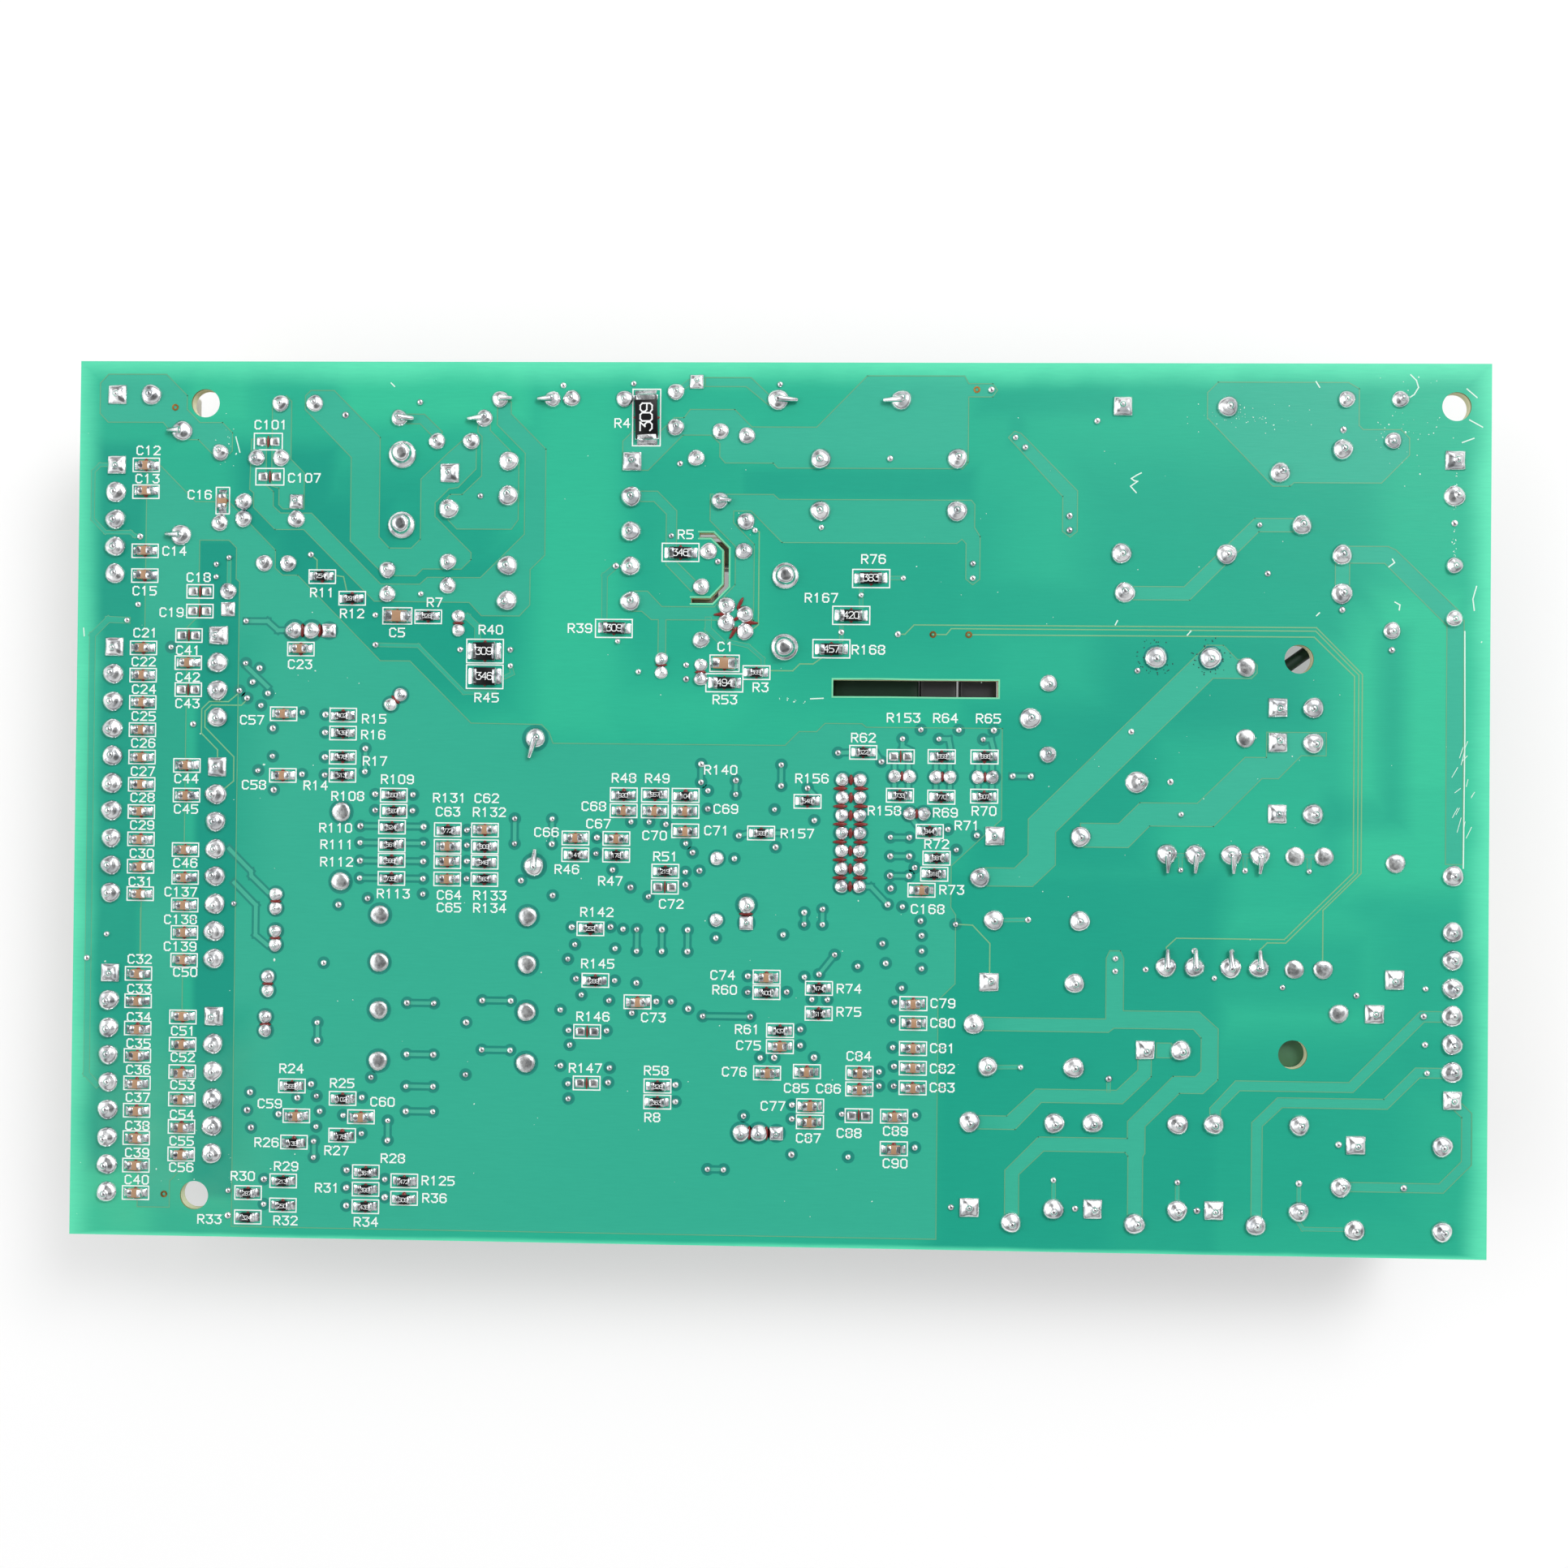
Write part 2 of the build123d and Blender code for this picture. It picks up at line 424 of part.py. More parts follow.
# ------------------------------------------------------------------ small helpers
def place(across, down):
    """Board place to part axes."""
    return across - BOARD_LENGTH / 2, BOARD_WIDTH / 2 - down


def middle(first, second):
    return (first[0] + second[0]) / 2, (first[1] + second[1]) / 2


def heading(first, second):
    """Angle, in degrees, of the line between two board places, seen in part axes."""
    return math.degrees(math.atan2(first[1] - second[1], second[0] - first[0]))


def flat_face(outline):
    return make_face(Polyline(*[place(*corner) for corner in outline], close=True))


def slab(outline, bottom, thickness):
    return extrude(Pos(0, 0, bottom) * flat_face(outline), thickness)


def block(centre, bottom, length, width, height, turn=0):
    x, y = place(*centre)
    return Pos(x, y, bottom + height / 2) * Rot(0, 0, turn) * Box(length, width, height)


def hanging_block(centre, length, width, height, turn=0):
    return block(centre, UNDERSIDE - height, length, width, height, turn)


def hanging_prism(centre, radius, sides, height, below=0):
    x, y = place(*centre)
    polygon = RegularPolygon(radius, sides, major_radius=False, rotation=180 / sides)
    return extrude(Pos(x, y, UNDERSIDE - below - height) * polygon, height)


def lying_prism(first, second, radius, sides, length, depth):
    """A body along the line between two leads, its axis `depth` below the board."""
    x, y = place(*middle(first, second))
    turn = Rot(0, 0, heading(first, second)) * Rot(0, 90, 0) * Rot(0, 0, 180 / sides)
    face = RegularPolygon(radius, sides, major_radius=False)
    return Pos(x, y, UNDERSIDE - depth) * turn * extrude(face, length / 2, both=True)


def write(name, solids):
    export_step(Compound(children=list(solids), label=name), f"parts/{name}.step")


# ------------------------------------------------------------------ where the leads are
def connector_places(name):
    (across, down), count, empty = CONNECTORS[name]
    return [(across, down + CONNECTOR_PITCH * step) for step in range(count) if step not in empty]


def relay_pin(common, turn, along, sideways):
    angle = math.radians(turn)
    across = common[0] + along * math.cos(angle) + sideways * math.sin(angle)
    down = common[1] - along * math.sin(angle) + sideways * math.cos(angle)
    return across, down


def relay_pins(common, turn):
    """Round pins of a relay; its square land is the first coil pin, given apart."""
    side = -RELAY_HALF_SPREAD
    coil = relay_pin(common, turn, COIL_OFFSET, side)
    round_pins = [common, relay_pin(common, turn, COIL_OFFSET, -side)]
    round_pins += [relay_pin(common, turn, CONTACT_OFFSET, spread) for spread in (side, -side)]
    return coil, round_pins


def transformer_pins():
    across, down = TRANSFORMER_CENTRE
    rows = [down + TRANSFORMER_PIN_PITCH * step for step in (-2, -1, 0, 1, 2)]
    output = [(across - TRANSFORMER_ROW_SPREAD / 2, row) for row in rows if row != rows[2]]
    supply = [(across + TRANSFORMER_ROW_SPREAD / 2, row) for row in rows]
    return supply[0], output + supply[1:]


def terminal_second(first, turn):
    angle = math.radians(turn)
    return first[0] + TERMINAL_PITCH * math.cos(angle), first[1] - TERMINAL_PITCH * math.sin(angle)


def choke_pins():
    across, down = CHOKE_CENTRE
    half_across, half_down = CHOKE_LEAD_SPREAD[0] / 2, CHOKE_LEAD_SPREAD[1] / 2
    corners = [(across + a * half_across, down + d * half_down) for a in (-1, 1) for d in (-1, 1)]
    return corners[0], corners[1:]


def transistor_leads(middle_lead):
    across, down = middle_lead
    return [(across + step * TRANSISTOR_PITCH, down) for step in (-1, 0, 1)]


def optocoupler_leads():
    across, down = OPTOCOUPLER
    half_across, half_down = OPTOCOUPLER_SPREAD[0] / 2, OPTOCOUPLER_SPREAD[1] / 2
    corners = [(across + a * half_across, down + d * half_down) for a in (1, -1) for d in (-1, 1)]
    return corners[0], corners[1:]


def header_places():
    across, down = HEADER_START
    return [(across + HEADER_PITCH * column, down + HEADER_PITCH * row)
            for row in range(HEADER_ROWS) for column in (0, 1)]


# ------------------------------------------------------------------ board and copper
def board_panel():
    panel = Pos(0, 0, UNDERSIDE + BOARD_THICKNESS / 2) * Box(BOARD_LENGTH, BOARD_WIDTH, BOARD_THICKNESS)
    for centre in CORNER_HOLES + SUPPORT_HOLES:
        x, y = place(*centre)
        panel -= Pos(x, y, SOLDER_SIDE) * Cylinder(HOLE_RADIUS, 3 * BOARD_THICKNESS)
    panel -= block(SLOT_CENTRE, UNDERSIDE, SLOT_LENGTH, SLOT_WIDTH, BOARD_THICKNESS)
    return panel - routed_slot()


def routed_slot():
    """The thin milled slot round the supply controller: a line widened by half its width."""
    half = ROUTED_SLOT_WIDTH / 2
    points = [place(*corner) for corner in ROUTED_SLOT]
    sides = []
    for sign in (1, -1):
        side = []
        for index, (x, y) in enumerate(points):
            before = points[max(index - 1, 0)]
            after = points[min(index + 1, len(points) - 1)]
            first = Vector(x - before[0], y - before[1]) if index else None
            second = Vector(after[0] - x, after[1] - y) if index + 1 < len(points) else None
            first = (first or second).normalized()
            second = (second or first).normalized()
            bisector = (first + second).normalized()
            reach = sign * half / bisector.dot(first)
            side.append((x - bisector.Y * reach, y + bisector.X * reach))
        sides.append(side)
    outline = Polyline(*sides[0], *reversed(sides[1]), close=True)
    return extrude(Pos(0, 0, UNDERSIDE) * make_face(outline), BOARD_THICKNESS)


def copper_fields():
    bottom = SOLDER_SIDE - COPPER_DEPTH
    return [slab(outline, bottom, COPPER_DEPTH) for outline in COPPER_FIELDS.values()]


# ------------------------------------------------------------------ solder joints
def joint_shape(kind):
    """A low cone of solder, drawn with a few flats, whose tip is the end of the lead."""
    radius, height = JOINTS[kind]
    sides = JOINT_SIDES[kind]
    foot = RegularPolygon(radius, sides, major_radius=False, rotation=180 / sides)
    return loft([foot.face(), Vertex(0, 0, height)])


def sort_leads(part, joints):
    """Put the two leads of a part under the kinds of joint that end its line."""
    for lead, kind in zip(part[:2], part[-2:]):
        joints[kind].append(lead)


def joint_places():
    joints = {kind: [] for kind in JOINTS}
    for name in CONNECTORS:
        pins = connector_places(name)
        if name == "connector_mains":
            pins.reverse()
        joints["square"].append(pins[0])
        joints["large"] += pins[1:]
    for common, turn in RELAYS:
        coil, others = relay_pins(common, turn)
        joints["square"].append(coil)
        joints["large"] += others
    for spot, turn in TERMINALS:
        joints["square"].append(spot)
        joints["large"].append(terminal_second(spot, turn))
    for first, others in (transformer_pins(), choke_pins(), OUTPUT_LEADS):
        joints["square"].append(first)
        joints["large"] += others
    for across, down in RESERVOIRS:
        joints["large"] += [(across, down + side * RESERVOIR_LEAD_SPREAD / 2) for side in (-1, 1)]
    for first, second, last in (transistor_leads(middle_lead) for middle_lead in TRANSISTORS):
        joints["medium"] += [first, second]
        joints["small_square"].append(last)
    first, others = optocoupler_leads()
    joints["small_square"].append(first)
    joints["medium"] += others + INPUT_LEADS + MODULE_LEFT_LEADS
    joints["flat"] += MODULE_RIGHT_LEADS
    joints["module"] += MODULE_ANCHORS
    joints["small"] += header_places()
    for across, down in (HEAT_SINK_OUTPUT, HEAT_SINK_INPUT):
        joints["heat_sink"] += [(across, down + side * HEAT_SINK_PIN_SPREAD / 2) for side in (-1, 1)]
    for part in SMALL_CANS + FILM_CAPACITORS + AXIAL_RESISTORS + AXIAL_DIODES + DISC_CAPACITORS:
        sort_leads(part, joints)
    for part in (VARISTOR, FUSE_LEADS, LED_LEADS, MAINS_LINK):
        sort_leads(part, joints)
    return joints


def solder_joints():
    for kind, spots in joint_places().items():
        cone = joint_shape(kind)
        cones = [cone.moved(Location((*place(*spot), SOLDER_SIDE))) for spot in spots]
        write(f"solder_joints_{kind}", cones)


# ------------------------------------------------------------------ chips on the solder side
def chips(places, size):
    length, width, height = size
    return [block(spot, SOLDER_SIDE, length, width, height) for spot in places]


def surface_mounted_parts():
    left = [(across, down) for across, rows in LEFT_CAPACITOR_ROWS for down in rows]
    upright = block(UPRIGHT_CHIP_CAPACITOR, SOLDER_SIDE, *CHIP_SIZE, 90)
    write("chip_capacitors_left", chips(left, CHIP_SIZE) + [upright])
    write("chip_capacitors", chips(CHIP_CAPACITORS, CHIP_SIZE))
    write("chip_capacitors_long", chips(LONG_CHIP_CAPACITORS, LONG_CHIP_SIZE))
    write("chip_resistors", chips(CHIP_RESISTORS, CHIP_SIZE))
    write("chip_resistors_long", chips(LONG_CHIP_RESISTORS, LONG_CHIP_SIZE))
    write("chip_resistors_wide", chips(WIDE_CHIP_RESISTORS, WIDE_CHIP_SIZE))
    write("chip_resistor_power", chips([POWER_CHIP_RESISTOR], POWER_CHIP_SIZE))


# ------------------------------------------------------------------ connectors
def connector_housing(name):
    """Open header: a base the pins stand in and a locking wall along its inner edge."""
    (across, down), count, _ = CONNECTORS[name]
    inner = -1 if name == "connector_mains" else 1
    profile = [(-CONNECTOR_FRONT, 0), (CONNECTOR_BACK, 0), (CONNECTOR_BACK, -CONNECTOR_WALL_HEIGHT),
               (CONNECTOR_BACK - CONNECTOR_WALL, -CONNECTOR_WALL_HEIGHT),
               (CONNECTOR_BACK - CONNECTOR_WALL, -CONNECTOR_BASE), (-CONNECTOR_FRONT, -CONNECTOR_BASE)]
    section = make_face(Polyline(*[(inner * x, z) for x, z in profile], close=True))
    length = CONNECTOR_PITCH * count
    x, y = place(across, down + length / 2 - CONNECTOR_PITCH / 2)
    return Pos(x, y, UNDERSIDE) * Rot(90, 0, 0) * extrude(section, length / 2, both=True)


def connectors():
    pins = []
    for name in CONNECTORS:
        write(name, [connector_housing(name)])
        pins += connector_places(name)
    reach = PIN_REACH - CONNECTOR_BASE
    bottom = UNDERSIDE - PIN_REACH
    write("connector_pins", [block(spot, bottom, PIN_SIDE, PIN_SIDE, reach) for spot in pins])


def terminal_housing(first, turn):
    centre = middle(first, terminal_second(first, turn))
    return hanging_block(centre, 2 * TERMINAL_PITCH, TERMINAL_DEPTH, TERMINAL_HEIGHT, turn)


def pin_header():
    across, down = HEADER_START
    centre = (across + HEADER_PITCH / 2, down + HEADER_PITCH * (HEADER_ROWS - 1) / 2)
    length = HEADER_PITCH * HEADER_ROWS
    write("pin_header", [hanging_block(centre, 2 * HEADER_PITCH, length, HEADER_BODY)])
    bottom = UNDERSIDE - HEADER_BODY - HEADER_PIN_REACH
    pins = [block(spot, bottom, HEADER_PIN, HEADER_PIN, HEADER_PIN_REACH) for spot in header_places()]
    write("pin_header_pins", pins)


# ------------------------------------------------------------------ tall parts the board rests on
def relay_case(common, turn):
    along = RELAY_LENGTH / 2 - RELAY_OVERHANG
    centre = relay_pin(common, turn, along, 0)
    x, y = place(*centre)
    case = Pos(x, y, UNDERSIDE - RELAY_HEIGHT / 2) * Rot(0, 0, turn) * Box(
        RELAY_LENGTH, RELAY_WIDTH, RELAY_HEIGHT)
    return chamfer(case.edges().filter_by(Axis.Z), RELAY_CORNER)


def reservoir_capacitors():
    sleeve = RESERVOIR_HEIGHT - RESERVOIR_VENT
    bodies = [hanging_prism(spot, RESERVOIR_RADIUS, RESERVOIR_SIDES, sleeve) for spot in RESERVOIRS]
    write("reservoir_capacitors", bodies)
    top_radius = RESERVOIR_RADIUS - RESERVOIR_LIP
    tops = [hanging_prism(spot, top_radius, RESERVOIR_SIDES, RESERVOIR_VENT, sleeve)
            for spot in RESERVOIRS]
    write("reservoir_capacitor_tops", tops)


def heat_sink(centre, fins):
    """Folded sheet: a standing plate with a fin at either end, both pointing one way."""
    across, down = centre
    half, sheet = HEAT_SINK_WIDTH / 2, HEAT_SINK_PLATE
    near, far = across - fins * sheet / 2, across + fins * HEAT_SINK_FIN
    inner = across + fins * sheet / 2
    outline = [(near, down - half), (far, down - half), (far, down - half + sheet),
               (inner, down - half + sheet), (inner, down + half - sheet), (far, down + half - sheet),
               (far, down + half), (near, down + half)]
    return slab(outline, UNDERSIDE - HEAT_SINK_HEIGHT, HEAT_SINK_HEIGHT)


def package_lead(spot, body_face):
    """A square wire out of the side of the package, bent into its hole."""
    across, down = spot
    half = LEAD_SIDE / 2
    reach = across + math.copysign(half, across - body_face)
    bar_centre = ((reach + body_face) / 2, down)
    bar_bottom = UNDERSIDE - PACKAGE_LIFT - LEAD_SIDE
    bar = block(bar_centre, bar_bottom, abs(reach - body_face), LEAD_SIDE, LEAD_SIDE)
    return bar + block(spot, UNDERSIDE - PACKAGE_LIFT, LEAD_SIDE, LEAD_SIDE, PACKAGE_LIFT)


def cooled_parts():
    """The two heat sinks, and on each a power package screwed flat against its plate."""
    write("heat_sinks", [heat_sink(HEAT_SINK_OUTPUT, -1), heat_sink(HEAT_SINK_INPUT, 1)])
    tabs, bodies, leads = [], [], []
    tab_thickness, tab_height = PACKAGE_TAB
    body_thickness, body_height = PACKAGE_BODY
    near_board = UNDERSIDE - PACKAGE_LIFT
    output_leads = [OUTPUT_LEADS[0], *OUTPUT_LEADS[1]]
    for sink, side, spots in ((HEAT_SINK_OUTPUT, 1, output_leads), (HEAT_SINK_INPUT, -1, INPUT_LEADS)):
        across, down = sink
        plate_face = across + side * HEAT_SINK_PLATE / 2
        tab = (plate_face + side * tab_thickness / 2, down)
        tabs.append(block(tab, near_board - tab_height, tab_thickness, PACKAGE_WIDTH, tab_height))
        body = (plate_face + side * (tab_thickness + body_thickness / 2), down)
        bodies.append(block(body, near_board - body_height, body_thickness, PACKAGE_WIDTH, body_height))
        body_face = plate_face + side * (tab_thickness + body_thickness)
        leads += [package_lead(spot, body_face) for spot in spots]
    write("power_package_tabs", tabs)
    write("power_packages", bodies)
    write("power_package_leads", leads)


# ------------------------------------------------------------------ wound parts
def transformer():
    """Two E cores that meet round a taped coil, on a bobbin with a foot under each end."""
    x, y = place(*TRANSFORMER_CENTRE)
    axis_depth = TRANSFORMER_HEIGHT / 2
    length, width, depth = TRANSFORMER_CORE
    window_length, window_width = length - 2 * TRANSFORMER_LIMB, width - 2 * TRANSFORMER_LIMB
    ring = Box(length, width, depth) - Box(window_length, window_width, depth)
    write("transformer_core", [Pos(x, y, UNDERSIDE - axis_depth) * ring])

    coil_length = window_length - 2 * BOBBIN_FLANGE
    half_wide, half_tall = window_width / 2 - COIL_GAP, TRANSFORMER_HEIGHT / 2 - COIL_INSET
    corner = COIL_CORNER
    section = Polyline((-half_wide, corner - half_tall), (-half_wide, half_tall - corner),
                       (corner - half_wide, half_tall), (half_wide - corner, half_tall),
                       (half_wide, half_tall - corner), (half_wide, corner - half_tall),
                       (half_wide - corner, -half_tall), (corner - half_wide, -half_tall), close=True)
    coil = Rot(0, 0, 90) * Rot(90, 0, 0) * extrude(make_face(section), coil_length / 2, both=True)
    write("transformer_winding", [Pos(x, y, UNDERSIDE - axis_depth) * coil])

    foot_height = axis_depth - depth / 2
    bobbins = []
    flange_plate = Box(BOBBIN_FLANGE, window_width, TRANSFORMER_HEIGHT)
    for side in (-1, 1):
        flange_x = x + side * (coil_length + BOBBIN_FLANGE) / 2
        flange = Pos(flange_x, y, UNDERSIDE - axis_depth) * flange_plate
        foot_x = x + side * TRANSFORMER_ROW_SPREAD / 2
        foot = Pos(foot_x, y, UNDERSIDE - foot_height / 2) * Box(BOBBIN_FOOT, width, foot_height)
        bobbins.append(flange + foot)
    write("transformer_bobbin", bobbins)


def choke():
    """Mains choke: a closed core lying flat, with a winding round each long limb."""
    x, y = place(*CHOKE_CENTRE)
    length, width, depth = CHOKE_CORE
    limb = CHOKE_LIMB
    write("choke_base", [hanging_block(CHOKE_CENTRE, CHOKE_BASE[0], CHOKE_BASE[1], CHOKE_BASE[2])])
    middle_height = UNDERSIDE - (CHOKE_HEIGHT + CHOKE_BASE[2]) / 2
    ring = Box(width, length, depth) - Box(width - 2 * limb, length - 2 * limb, depth)
    write("choke_core", [Pos(x, y, middle_height) * ring])
    winding_height = CHOKE_HEIGHT - CHOKE_BASE[2]
    winding = (Box(CHOKE_WINDING_WIDTH, length - 2 * limb, winding_height)
               - Box(limb, length - 2 * limb, depth))
    spread = (width - limb) / 2
    write("choke_winding", [Pos(x + side * spread, y, middle_height) * winding for side in (-1, 1)])


# ------------------------------------------------------------------ leaded parts
def upright_disc(first, second, radius, thickness):
    """A coated disc standing on its rim, its leads under it."""
    x, y = place(*middle(first, second))
    turn = Rot(0, 0, heading(first, second)) * Rot(90, 0, 0)
    face = RegularPolygon(radius, DISC_SIDES, major_radius=False, rotation=90 + 180 / DISC_SIDES)
    return Pos(x, y, UNDERSIDE - radius) * turn * extrude(face, thickness / 2, both=True)


def small_parts():
    cans = [hanging_prism(middle(first, second), radius, CAN_SIDES, height)
            for first, second, radius, height, *_ in SMALL_CANS]
    write("small_capacitors", cans)
    films = [hanging_block(middle(first, second), length, width, height, heading(first, second))
             for first, second, length, width, height, *_ in FILM_CAPACITORS]
    write("film_capacitors", films)
    resistors = [lying_prism(first, second, radius, AXIAL_SIDES, length, radius)
                 for first, second, radius, length, *_ in AXIAL_RESISTORS]
    write("axial_resistors", resistors)
    diodes = [lying_prism(first, second, radius, AXIAL_SIDES, length, radius)
              for first, second, radius, length, *_ in AXIAL_DIODES]
    write("axial_diodes", diodes)
    write("disc_capacitors", [upright_disc(*disc[:4]) for disc in DISC_CAPACITORS])
    write("varistor", [upright_disc(*VARISTOR[:4])])


def fuse():
    first, second = FUSE_LEADS[:2]
    (tube_radius, tube_length), (cap_radius, cap_length) = FUSE_TUBE, FUSE_CAP
    write("fuse_tube", [lying_prism(first, second, tube_radius, FUSE_SIDES, tube_length, cap_radius)])
    across, down = middle(first, second)
    caps = []
    for side in (-1, 1):
        spot = down + side * (tube_length + cap_length) / 2
        caps.append(lying_prism((across, spot - 1), (across, spot + 1), cap_radius, FUSE_SIDES,
                                cap_length, cap_radius))
    write("fuse_caps", caps)


def semiconductors():
    write("optocoupler", [hanging_block(OPTOCOUPLER, *OPTOCOUPLER_SIZE)])
    write("optocouplers_under_slot", [hanging_block(spot, *SLOT_COUPLER_SIZE) for spot in SLOT_COUPLERS])
    write("green_block_under_slot", [hanging_block(SLOT_BLOCK, *SLOT_BLOCK_SIZE)])
    write("microcontroller", [hanging_block(MICROCONTROLLER, *MICROCONTROLLER_SIZE)])
    transistors = []
    for across, down in TRANSISTORS:
        corners = [(across + a, down + d) for a, d in TRANSISTOR_OUTLINE]
        transistors.append(slab(corners, UNDERSIDE - TRANSISTOR_HEIGHT, TRANSISTOR_HEIGHT))
    write("transistors", transistors)
    write("led", [hanging_prism(middle(*LED_LEADS[:2]), LED_RADIUS, CAN_SIDES, LED_HEIGHT)])


def ignition_module():
    case = hanging_block(MODULE_CENTRE, *MODULE_SIZE)
    write("ignition_module", [chamfer(case.edges().filter_by(Axis.Z), MODULE_CORNER)])


def wires_and_laid_disc():
    """A sleeved link across the mains input, and what lies under the two support holes."""
    wires = [lying_prism(first, second, radius, SLEEVE_SIDES, length, radius)
             for first, second, radius, length, *_ in (MAINS_LINK, CROSSING_WIRE)]
    write("sleeved_wires", wires)
    relay_end = RELAYS[4][0][1] + RELAY_OVERHANG - RELAY_LENGTH
    centre = (LAID_VARISTOR_ACROSS, relay_end - CLEARANCE - LAID_VARISTOR_RADIUS)
    laid = hanging_prism(centre, LAID_VARISTOR_RADIUS, DISC_SIDES, LAID_VARISTOR_THICKNESS)
    write("laid_varistor", [laid])


# ------------------------------------------------------------------ build
os.makedirs("parts", exist_ok=True)
copper = copper_fields()
panel = board_panel()
for field in copper:
    panel -= field
write("board_panel", [panel])
write("copper_fields", copper)
solder_joints()
surface_mounted_parts()
connectors()
write("terminals", [terminal_housing(spot, turn) for spot, turn in TERMINALS])
pin_header()
write("relays", [relay_case(common, turn) for common, turn in RELAYS])
reservoir_capacitors()
cooled_parts()
transformer()
choke()
small_parts()
fuse()
semiconductors()
ignition_module()
wires_and_laid_disc()
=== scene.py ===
import math
import bpy
import numpy as np
from mathutils import Matrix, Vector


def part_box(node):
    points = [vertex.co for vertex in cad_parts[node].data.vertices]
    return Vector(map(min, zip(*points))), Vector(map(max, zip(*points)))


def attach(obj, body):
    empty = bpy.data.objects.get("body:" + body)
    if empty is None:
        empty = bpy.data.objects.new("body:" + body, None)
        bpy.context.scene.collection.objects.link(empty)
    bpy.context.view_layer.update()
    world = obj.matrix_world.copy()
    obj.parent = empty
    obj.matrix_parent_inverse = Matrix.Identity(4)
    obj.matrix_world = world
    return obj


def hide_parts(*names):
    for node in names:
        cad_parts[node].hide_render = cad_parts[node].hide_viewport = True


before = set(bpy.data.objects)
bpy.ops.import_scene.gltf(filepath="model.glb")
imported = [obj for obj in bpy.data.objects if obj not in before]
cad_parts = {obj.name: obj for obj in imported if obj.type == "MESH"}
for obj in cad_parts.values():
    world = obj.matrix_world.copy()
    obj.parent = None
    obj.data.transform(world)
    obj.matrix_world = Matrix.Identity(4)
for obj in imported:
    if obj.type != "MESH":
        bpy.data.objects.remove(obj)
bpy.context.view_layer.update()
rng = np.random.default_rng(7)
mm = 0.001
panelLow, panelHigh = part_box("board_panel")
boardLeft, boardTop = panelLow.x, panelHigh.y  # places are (across, down) in mm from this corner
solderSide, underside = panelHigh.z, panelLow.z
print("frame loaded,", len(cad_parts), "nodes")


# shader maths: a socket that can be added, multiplied and compared
class Socket:
    def __init__(self, graph, out):
        self.graph, self.out = graph, out

    def calc(self, operation, *values):
        return self.graph.add("ShaderNodeMath", {"operation": operation}, dict(enumerate(values)))[0]

    def __add__(self, other): return self.calc("ADD", self, other)
    def __radd__(self, other): return self.calc("ADD", other, self)
    def __sub__(self, other): return self.calc("SUBTRACT", self, other)
    def __rsub__(self, other): return self.calc("SUBTRACT", other, self)
    def __mul__(self, other): return self.calc("MULTIPLY", self, other)
    def __rmul__(self, other): return self.calc("MULTIPLY", other, self)
    def __truediv__(self, other): return self.calc("DIVIDE", self, other)
    def __lt__(self, other): return self.calc("LESS_THAN", self, other)
    def __gt__(self, other): return self.calc("GREATER_THAN", self, other)
    def abs(self): return self.calc("ABSOLUTE", self)
    def least(self, other): return self.calc("MINIMUM", self, other)
    def most(self, other): return self.calc("MAXIMUM", self, other)

    def step(self, low, high):  # 0 below low, 1 above high, smooth between
        return self.graph.add("ShaderNodeMapRange", {"interpolation_type": "SMOOTHSTEP"},
                              {0: self, 1: low, 2: high, 3: 0.0, 4: 1.0})[0]


class Graph:
    def __init__(self, name, owner=None):
        self.material = owner or bpy.data.materials.new(name)
        self.material.use_nodes = True
        self.tree = self.material.node_tree
        self.tree.nodes.clear()

    def add(self, kind, settings=None, inputs=None):
        node = self.tree.nodes.new(kind)
        for key, value in (settings or {}).items():
            setattr(node, key, value)
        for key, value in (inputs or {}).items():
            if isinstance(value, Socket):
                self.tree.links.new(value.out, node.inputs[key])
            else:
                node.inputs[key].default_value = value
        return [Socket(self, out) for out in node.outputs]

    def objectPlace(self):
        return self.add("ShaderNodeTexCoord")[3]

    def axes(self, vector):
        return self.add("ShaderNodeSeparateXYZ", inputs={0: vector})

    def stretched(self, place, scale):
        return self.add("ShaderNodeMapping", inputs={"Vector": place, "Scale": scale})[0]

    def noise(self, scale, detail=2.0, place=None):
        return self.add("ShaderNodeTexNoise", inputs={
            "Vector": place or self.objectPlace(), "Scale": scale, "Detail": detail, "Roughness": 0.5})[0]

    def mix(self, factor, low, high):
        return self.add("ShaderNodeMix", {"data_type": "RGBA"}, {0: factor, 6: low, 7: high})[2]

    def ramp(self, place, stops):
        # a colour that runs straight from one stop to the next; each stop is a place and its colour
        found = self.add("ShaderNodeValToRGB", inputs={0: place})[0]
        elements = found.out.node.color_ramp.elements
        while len(elements) < len(stops):
            elements.new(0.5)
        for element, (at, colour) in zip(elements, stops):
            element.position, element.color = at, colour
        return found

    def bump(self, height, strength, distance):
        return self.add("ShaderNodeBump", inputs={
            "Strength": strength, "Distance": distance, "Height": height})[0]

    def surface(self, colour, roughness, metallic, bump, fixed):
        shader = self.add("ShaderNodeBsdfPrincipled", inputs={
            "Base Color": colour, "Roughness": roughness, "Metallic": metallic, **fixed, "Normal": bump})[0]
        self.add("ShaderNodeOutputMaterial", inputs={0: shader})
        return self.material


def tint(red, green, blue):  # a screen colour, 0 to 255, as the linear value that renders like it
    parts = [c / 255 / 12.92 if c / 255 <= 0.04045 else ((c / 255 + 0.055) / 1.055) ** 2.4
             for c in (red, green, blue)]
    return (*parts, 1.0)


